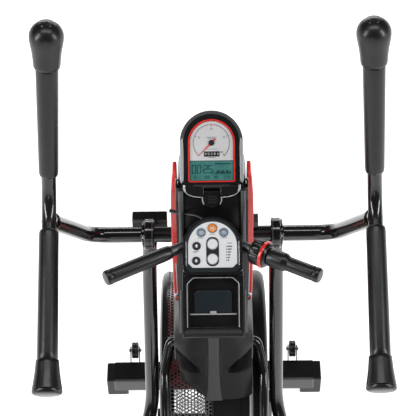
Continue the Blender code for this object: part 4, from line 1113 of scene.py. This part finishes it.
def make_panel():
    """A white face in a dark bezel inside a gloss arch, with seven buttons, a dark pill and small printed
    marks."""
    rim = panel_slab([arch(0.0655, -0.0010, -0.0640, 0.010, 44), arch(0.0608, -0.0004, -0.0580, 0.010, 44)],
                     -0.004, FACE + 0.0022)
    finish_piece("panel_rim", rim, GLOSS, "frame", "panel_housing", bevel=0.0018, segments=5)
    bezel = panel_slab([arch(0.0606, -0.0004, -0.0578, 0.010, 44), arch(0.0548, 0.0, -0.0490, 0.010, 44)],
                       -0.004, FACE + 0.0010)
    finish_piece("panel_bezel", bezel, SLATE, "frame", bevel=0.0016, segments=4)
    core = panel_slab([arch(0.0640, -0.0010, -0.0630, 0.010, 40)], -0.030, 0.0088)
    finish_piece("panel_core", core, PLASTIC, "frame", bevel=0.004)
    holes = [circle(at, radius + 0.0006, 36) for name, at, radius, look in BUTTONS]
    face = panel_slab([arch(0.0544, 0.0, -0.0485, 0.010, 44), *holes], 0.0092, FACE)
    finish_piece("panel_face", face, WHITE, "frame", "panel_plate", bevel=0.0004)
    pill = panel_slab([rounded((-0.0140, -0.0455), (0.0140, 0.0200), 0.0130, 9),
                       *[circle(at, radius + 0.0006, 36) for name, at, radius,
                         look in BUTTONS if "select" in name]],
                      FACE, FACE + 0.0007)
    finish_piece("panel_pill", pill, SLATE, "frame", bevel=0.0003)
    normal = in_plane(PANEL_TILT, (0, 0, 0), 0, 0, 1)
    for name, at, radius, look in BUTTONS:
        profile = [(0.0, 0.006), (radius, 0.006), (radius, FACE + 0.0018), (radius - 0.0006, FACE + 0.0027),
                   (radius * 0.80, FACE + 0.0031), (radius * 0.70, FACE + 0.0027), (0.0, FACE + 0.0024)]
        finish_piece(name + "_cap", lathe(profile, on_panel(*at), normal, 48), look, name + "_body", name,
                     smooth=40)
        ring = panel_slab([circle(at, radius + 0.0014, 48), circle(at, radius + 0.0007, 48)], FACE,
                          FACE + 0.0009)
        finish_piece(name + "_ring", ring, SILVER if "select" in name else GREY_INK, "frame", bevel=0.0003)

    def mark(u, v, width, height, high=FACE + 0.0003):
        return panel_slab([[(u, v), (u + width, v), (u + width, v + height), (u, v + height)]],
                          FACE - 0.0002, high)

    for name, flip in (("up_button", 1), ("down_button", -1)):
        (u, v), = [at for button, at, radius, look in BUTTONS if button == name]
        outline = [(u - 0.0040, v - 0.0002 * flip), (u + 0.0040, v - 0.0002 * flip), (u, v + 0.0046 * flip)]
        stalk = [(u - 0.0016, v - 0.0038 * flip), (u + 0.0016, v - 0.0038 * flip), (u + 0.0016, v),
                 (u - 0.0016, v)]
        arrow = merged(*[panel_slab([line], FACE + 0.0020, FACE + 0.0028) for line in (outline, stalk)])
        finish_piece(name + "_arrow", arrow, WHITE, name + "_body")
    for name, at, radius, look in BUTTONS[:3]:
        wide, high = radius * 0.9, 0.0011
        lines = [[(at[0] - wide / 2, at[1] + d), (at[0] + wide / 2, at[1] + d),
                  (at[0] + wide / 2, at[1] + d + high),
                  (at[0] - wide / 2, at[1] + d + high)] for d in (0.0008, -0.0020)]
        finish_piece(name + "_print", merged(*[panel_slab([line], FACE + 0.0020,
                                                          FACE + 0.0028) for line in lines]), WHITE,
                     name + "_body")
    printed = [mark(-0.0060, 0.0258, 0.0120, 0.0012), mark(-0.0330, 0.0172, 0.0130, 0.0012),
               mark(0.0190, 0.0172, 0.0130, 0.0012),
               mark(-0.0430, -0.0122, 0.0130, 0.0012), mark(-0.0430, -0.0150, 0.0090, 0.0010)]
    for i in range(6):
        v = -0.0340 + 0.0062 * i
        printed += [mark(0.0330, v, 0.0035 + 0.0014 * i, 0.0030), mark(0.0300, v, 0.0016, 0.0030)]
    printed.append(mark(0.0330, 0.0052, 0.0100, 0.0014))
    finish_piece("panel_print", merged(*printed), GREY_INK, "frame")
    for side, sign in SIDES:
        line = [on_panel(sign * 0.0585, v, FACE + 0.0006) for v in (0.0100, 0.0, -0.0200, -0.0440)]
        finish_piece(f"panel_line_{side}", sweep(line, 0.0007, 8), SILVER, "frame")


def make_tray():
    """A deep dark tray: raised pale edge, inner panel, a silver edge with its latch, and a bright lip."""
    rear = [(0.164, 0.880), (0.194, 1.060), (0.214, 1.130)]
    outline = [*rear, (0.150, 1.150), (0.100, 1.135), (0.080, 1.146), TRAY_FROM, (-0.0125, 1.0545),
               (-0.0170, 1.0460),
               (-0.0080, 1.0320), (0.060, 0.990), (0.130, 0.930)]
    low = slab([outline], 0.136, (0, 0, 0), side_on=True)
    body = finish_piece("tray_body", low, PLASTIC, "frame", bevel=0.006, segments=4)
    half = 0.0560
    cutter_mesh = tray_slab([[(-half, -0.113), (half, -0.113), (half, -0.012), (half - 0.012, 0.0),
                              (-half + 0.012, 0.0),
                              (-half, -0.012)]], -0.0135, 0.02)
    cutter = bpy.data.objects.new("tray_cutter", cutter_mesh)
    bpy.context.scene.collection.objects.link(cutter)
    carve = body.modifiers.new("recess", "BOOLEAN")
    carve.object = cutter
    carve.operation = "DIFFERENCE"
    body.modifiers.move(body.modifiers.find("recess"), 0)
    bpy.context.view_layer.update()
    carved = bpy.data.meshes.new_from_object(body.evaluated_get(bpy.context.evaluated_depsgraph_get()))
    body.modifiers.clear()
    body.data = carved
    bpy.data.objects.remove(cutter, do_unlink=True)
    inner = tray_slab([[(-0.0420, -0.079), (0.0420, -0.079), (0.0420, -0.036), (0.0360, -0.029),
                        (-0.0360, -0.029),
                        (-0.0420, -0.036)]], -0.0134, -0.0085)
    finish_piece("tray_inner_panel", inner, SLATE, "frame", bevel=0.0018)
    rim = [in_plane(TRAY_TILT, TRAY_MIDDLE, u, v, 0.0004) for u, v in
           ((-half - 0.0015, -0.110), (-half - 0.0015, -0.0120), (-half + 0.012, 0.0012),
            (half - 0.012, 0.0012),
            (half + 0.0015, -0.0120), (half + 0.0015, -0.110))]
    finish_piece("tray_rim_line", sweep(bent(rim, 0.004, 4), 0.0009, 10), SILVER, "frame")
    edge = tray_slab([rounded((-0.0520, -0.0830), (0.0520, -0.0805), 0.0010)], -0.0134, -0.0068)
    finish_piece("tray_silver_edge", edge, SILVER, "frame", bevel=0.0006)
    latch = tray_slab([rounded((-0.0070, -0.0820), (0.0070, -0.0745), 0.0020)], -0.0086, -0.0060)
    finish_piece("tray_latch", latch, SILVER, "frame", bevel=0.0008)
    lip = tray_slab([[(-0.0640, -0.1232), (0.0640, -0.1232), (0.0600, -0.1160), (-0.0600, -0.1160)]],
                    -0.0010, 0.0012)
    finish_piece("tray_lip", lip, RIDGE, "frame", bevel=0.0016, segments=4)
    # Painted highlights: grey tubes along the tray housing's side edges where light catches them.
    for side, sign in SIDES:
        strip = [(sign * 0.0700, y, z) for y, z in ((0.060, 1.118), (0.020, 1.078), (-0.008, 1.050))]
        finish_piece(f"tray_edge_highlight_{side}", sweep(strip, 0.0030, 14), GREY, "frame")


def make_mast_face():
    """Between console and panel: a round meshed clip with silver marks, and two thin lines that sweep down
    to it."""
    middle, tilt = Vector((0, 0.2495, 1.206)), math.radians(44)

    def plate(outlines, low, high):
        return slab(outlines, high - low, in_plane(tilt, middle, 0, 0, (low + high) / 2), tilt)

    finish_piece("clip_body", plate([circle((0, 0), 0.0185, 56)], -0.004, 0.0060), GLOSS, "frame",
                 bevel=0.0025)
    finish_piece("clip_ring", plate([circle((0, 0), 0.0150, 56), circle((0, 0), 0.0130, 56)], 0.0050,
                                    0.0072), PLASTIC, "frame",
                 bevel=0.0006)
    holes = [plate([circle((u * 0.0042 + (v % 2) * 0.0021, v * 0.0037), 0.0013, 10)], 0.0058, 0.0068)
             for v in range(-2, 3) for u in range(-2, 3) if math.hypot(u * 0.0042 + (v % 2) * 0.0021,
                     v * 0.0037) < 0.0115]
    finish_piece("clip_pips", merged(*holes), RIDGE, "frame")
    for side, sign in SIDES:
        arms = [(sign * u, v) for u, v in ((0.0205, 0.0065), (0.0235, 0.0060), (0.0225, -0.0040),
                                           (0.0190, -0.0120), (0.0172, -0.0110),
                                           (0.0198, -0.0030))]
        finish_piece(f"clip_mark_{side}", plate([arms], 0.0040, 0.0068), SILVER, "frame", bevel=0.0005)
        hook = [in_plane(tilt, middle, sign * u, v, 0.0050) for u,
                v in ((0.0630, 0.0300), (0.0625, 0.0200), (0.0540, 0.0110),
                                                                        (0.0380, 0.0060), (0.0240, 0.0050))]
        finish_piece(f"mast_line_{side}", sweep(bent(hook, 0.006, 5), 0.0010, 10), SILVER, "frame")
        corner = [in_plane(tilt, middle, sign * u, v, 0.0040) for u,
                  v in ((0.0625, 0.0330), (0.0628, 0.0240), (0.0600, 0.0185))]
        finish_piece(f"mast_corner_{side}", sweep(corner, 0.0026, 12), SILVER, "frame")
        shelf = plate([[(sign * 0.0640, 0.030), (sign * 0.0640, 0.016), (sign * 0.0300, 0.004),
                        (sign * 0.0190, 0.010), (sign * 0.0190, 0.030)]],
                      -0.002, 0.0040)
        finish_piece(f"clip_shelf_{side}", shelf, GLOSS, "frame", bevel=0.0015)
    lead = bent([(-0.0960, 0.2560, 1.160), (-0.0700, 0.2400, 1.1700), (-0.0300, 0.2050, 1.2050),
                 (-0.0150, 0.1850, 1.2080)], 0.02, 6)
    thick = [0.0046 - 0.0018 * i / (len(lead) - 1) for i in range(len(lead))]
    finish_piece("sensor_lead", sweep(lead, thick, 16), PLASTIC, "frame", smooth=60)
    finish_piece("side_boss", slab([rounded((0.292, 1.050), (0.318, 1.078), 0.009, 8)], 0.012,
                                   (0.1020, 0, 0), side_on=True), RIDGE,
                 "frame", bevel=0.004)


# Static grips and the resistance dial

def make_grip_bar():
    """The bent bar, a smooth foam grip with an end cap on each side, the right one's wide sleeve, and the
    dial."""
    right = bent([(0, *GRIP_BAR_BEND[1:]), GRIP_BAR_BEND, GRIP_BAR_END], 0.020, 8)
    path = [sided(p, -1) for p in reversed(right[1:])] + right
    finish_piece("grip_bar_tube", sweep(path, GRIP_BAR_RADIUS, 32), DARK_STEEL, "frame", "grip_bar",
                 smooth=40)
    bore, end = GRIP_BAR_RADIUS + 0.0002, (GRIP_BAR_END - GRIP_BAR_BEND).length
    starts = {"left": [(0.0132, 0.0402), (0.0146, 0.0410), (0.0152, 0.0430), (0.0160, 0.0470),
                       (0.0165, 0.0600)],
              "right": [(0.0190, 0.0782), (0.0204, 0.0790), (0.0210, 0.0830), (0.0212, 0.0900),
                        (0.0210, 0.1120), (0.0204, 0.1170),
                        (0.0176, 0.1225), (0.0166, 0.1245), (0.0163, 0.1260), (0.0164, 0.1300)]}
    for side, sign in SIDES:
        start = starts[side]
        rows = [(bore, start[0][1]), *start, (0.0166, end - 0.012), (0.0162, end - 0.0090),
                (0.0156, end - 0.0082),
                (0.0157, end - 0.0076), (0.0170, end - 0.0068), (0.0172, end - 0.002), (0.0169, end + 0.0022),
                (0.0150, end + 0.0058), (0.0120, end + 0.0064), (0.0, end + 0.0064)]
        finish_piece(f"static_foam_{side}", lathe(rows, sided(GRIP_BAR_BEND, sign),
                                                  sided(GRIP_BAR_ALONG, sign), 56), FOAM,
                     "frame", f"static_grip_{side}", smooth=40)
    at, along = GRIP_BAR_BEND, GRIP_BAR_ALONG
    bore = GRIP_BAR_RADIUS + 0.0007
    knurl = [(bore, 0.034), (0.0200, 0.034), (0.0262, 0.0358), (0.0285, 0.040), (0.0296, 0.044),
             (0.0296, 0.0595), (0.0280, 0.0610),
             (bore, 0.0612), (bore, 0.034)]
    finish_piece("dial_knurl", lathe(knurl, at, along, 96, lambda a, r,
                                     h: r - (0.0011 if r > 0.0285 and math.sin(a * 24) < 0 else 0)),
                 PLASTIC, "dial", "resistance_dial", smooth=25)
    ring = [(bore, 0.0616), (0.0290, 0.0616), (0.0310, 0.0626), (0.0313, 0.0645), (0.0313, 0.0675),
            (0.0302, 0.0690),
            (bore, 0.0692), (bore, 0.0616)]
    finish_piece("dial_red_ring", lathe(ring, at, along, 96), RED, "dial", smooth=30)
    cap = [(bore, 0.0694), (0.0285, 0.0694), (0.0276, 0.0725), (0.0240, 0.0755), (0.0220, 0.0764),
           (bore, 0.0764), (bore, 0.0694)]
    finish_piece("dial_cap", lathe(cap, at, along, 72), PLASTIC, "dial", smooth=30)


# Stage: floor, light and camera

def make_stage():
    size = 300.0
    floor = bpy.data.objects.new("floor", block((size, size, 0.02), (0, 0, -0.0102)))
    bpy.context.scene.collection.objects.link(floor)
    g = Graph("studio_floor")
    noise = g.node("TexNoise", Scale=3.0, Detail=3.0)
    g.link(g.node("TexCoord").outputs["Object"], noise.inputs["Vector"])
    g.link(g.ramp(noise.outputs["Fac"], ((0.3, (0.90, 0.90, 0.90)), (0.7, (0.93, 0.93, 0.93)))),
           g.shader.inputs["Base Color"])
    g.shader.inputs["Roughness"].default_value = 0.7
    g.shader.inputs["Emission Color"].default_value = (1, 1, 1, 1)
    g.shader.inputs["Emission Strength"].default_value = 0.95
    floor.data.materials.append(g.material)
    world = bpy.data.worlds.new("studio")
    world.use_nodes = True
    bpy.context.scene.world = world
    background = world.node_tree.nodes["Background"]
    background.inputs["Color"].default_value = (1.0, 1.0, 1.0, 1)
    background.inputs["Strength"].default_value = 0.07
    bpy.context.scene.view_settings.view_transform = "Standard"
    for name, place, size_x, size_y, power in (
        ("key_light", (0.0, 0.1, 4.3), 3.0, 0.4, 30),
        ("left_light", (-2.7, -0.9, 2.7), 0.4, 2.4, 50),
        ("right_light", (2.7, -0.9, 2.7), 0.4, 2.4, 44),
        ("rear_light", (0.0, 3.5, 1.9), 2.4, 0.5, 22),
        ("user_light", (-0.6, -3.4, 1.8), 1.2, 0.5, 3),
    ):
        lamp = bpy.data.lights.new(name, "AREA")
        lamp.shape = "RECTANGLE"
        lamp.size, lamp.size_y = size_x, size_y
        lamp.energy = power
        made = bpy.data.objects.new(name, lamp)
        made.location = place
        made.rotation_euler = (Vector((0, 0.2, 0.8)) - Vector(place)).to_track_quat("-Z", "Y").to_euler()
        bpy.context.scene.collection.objects.link(made)
    camera_data = bpy.data.cameras.new("camera")
    camera_data.lens = 123.4
    camera_data.sensor_width = 36.0
    camera_data.shift_x = -0.0099
    camera_data.clip_start, camera_data.clip_end = 0.1, 60
    camera = bpy.data.objects.new("camera", camera_data)
    camera.location = (0.0, -1.835, 3.660)
    camera.rotation_euler = (Matrix.Rotation(math.radians(40), 3,
                                             "X") @ Matrix.Rotation(math.radians(-0.66), 3, "Z")).to_euler()
    bpy.context.scene.collection.objects.link(camera)
    bpy.context.scene.camera = camera


def build():
    make_stage()
    for side, sign in SIDES:
        make_handlebar(side, sign)
        make_rocker(side, sign)
        make_grips(side, sign)
        if side == "left":
            make_clamp_block(side, sign)
        make_hoop(side, sign)
    make_base()
    make_cage()
    make_belt_cover()
    make_fan()
    make_drive()
    make_legs()
    make_mast()
    make_trims()
    make_console()
    make_panel()
    make_tray()
    make_mast_face()
    make_grip_bar()


build()
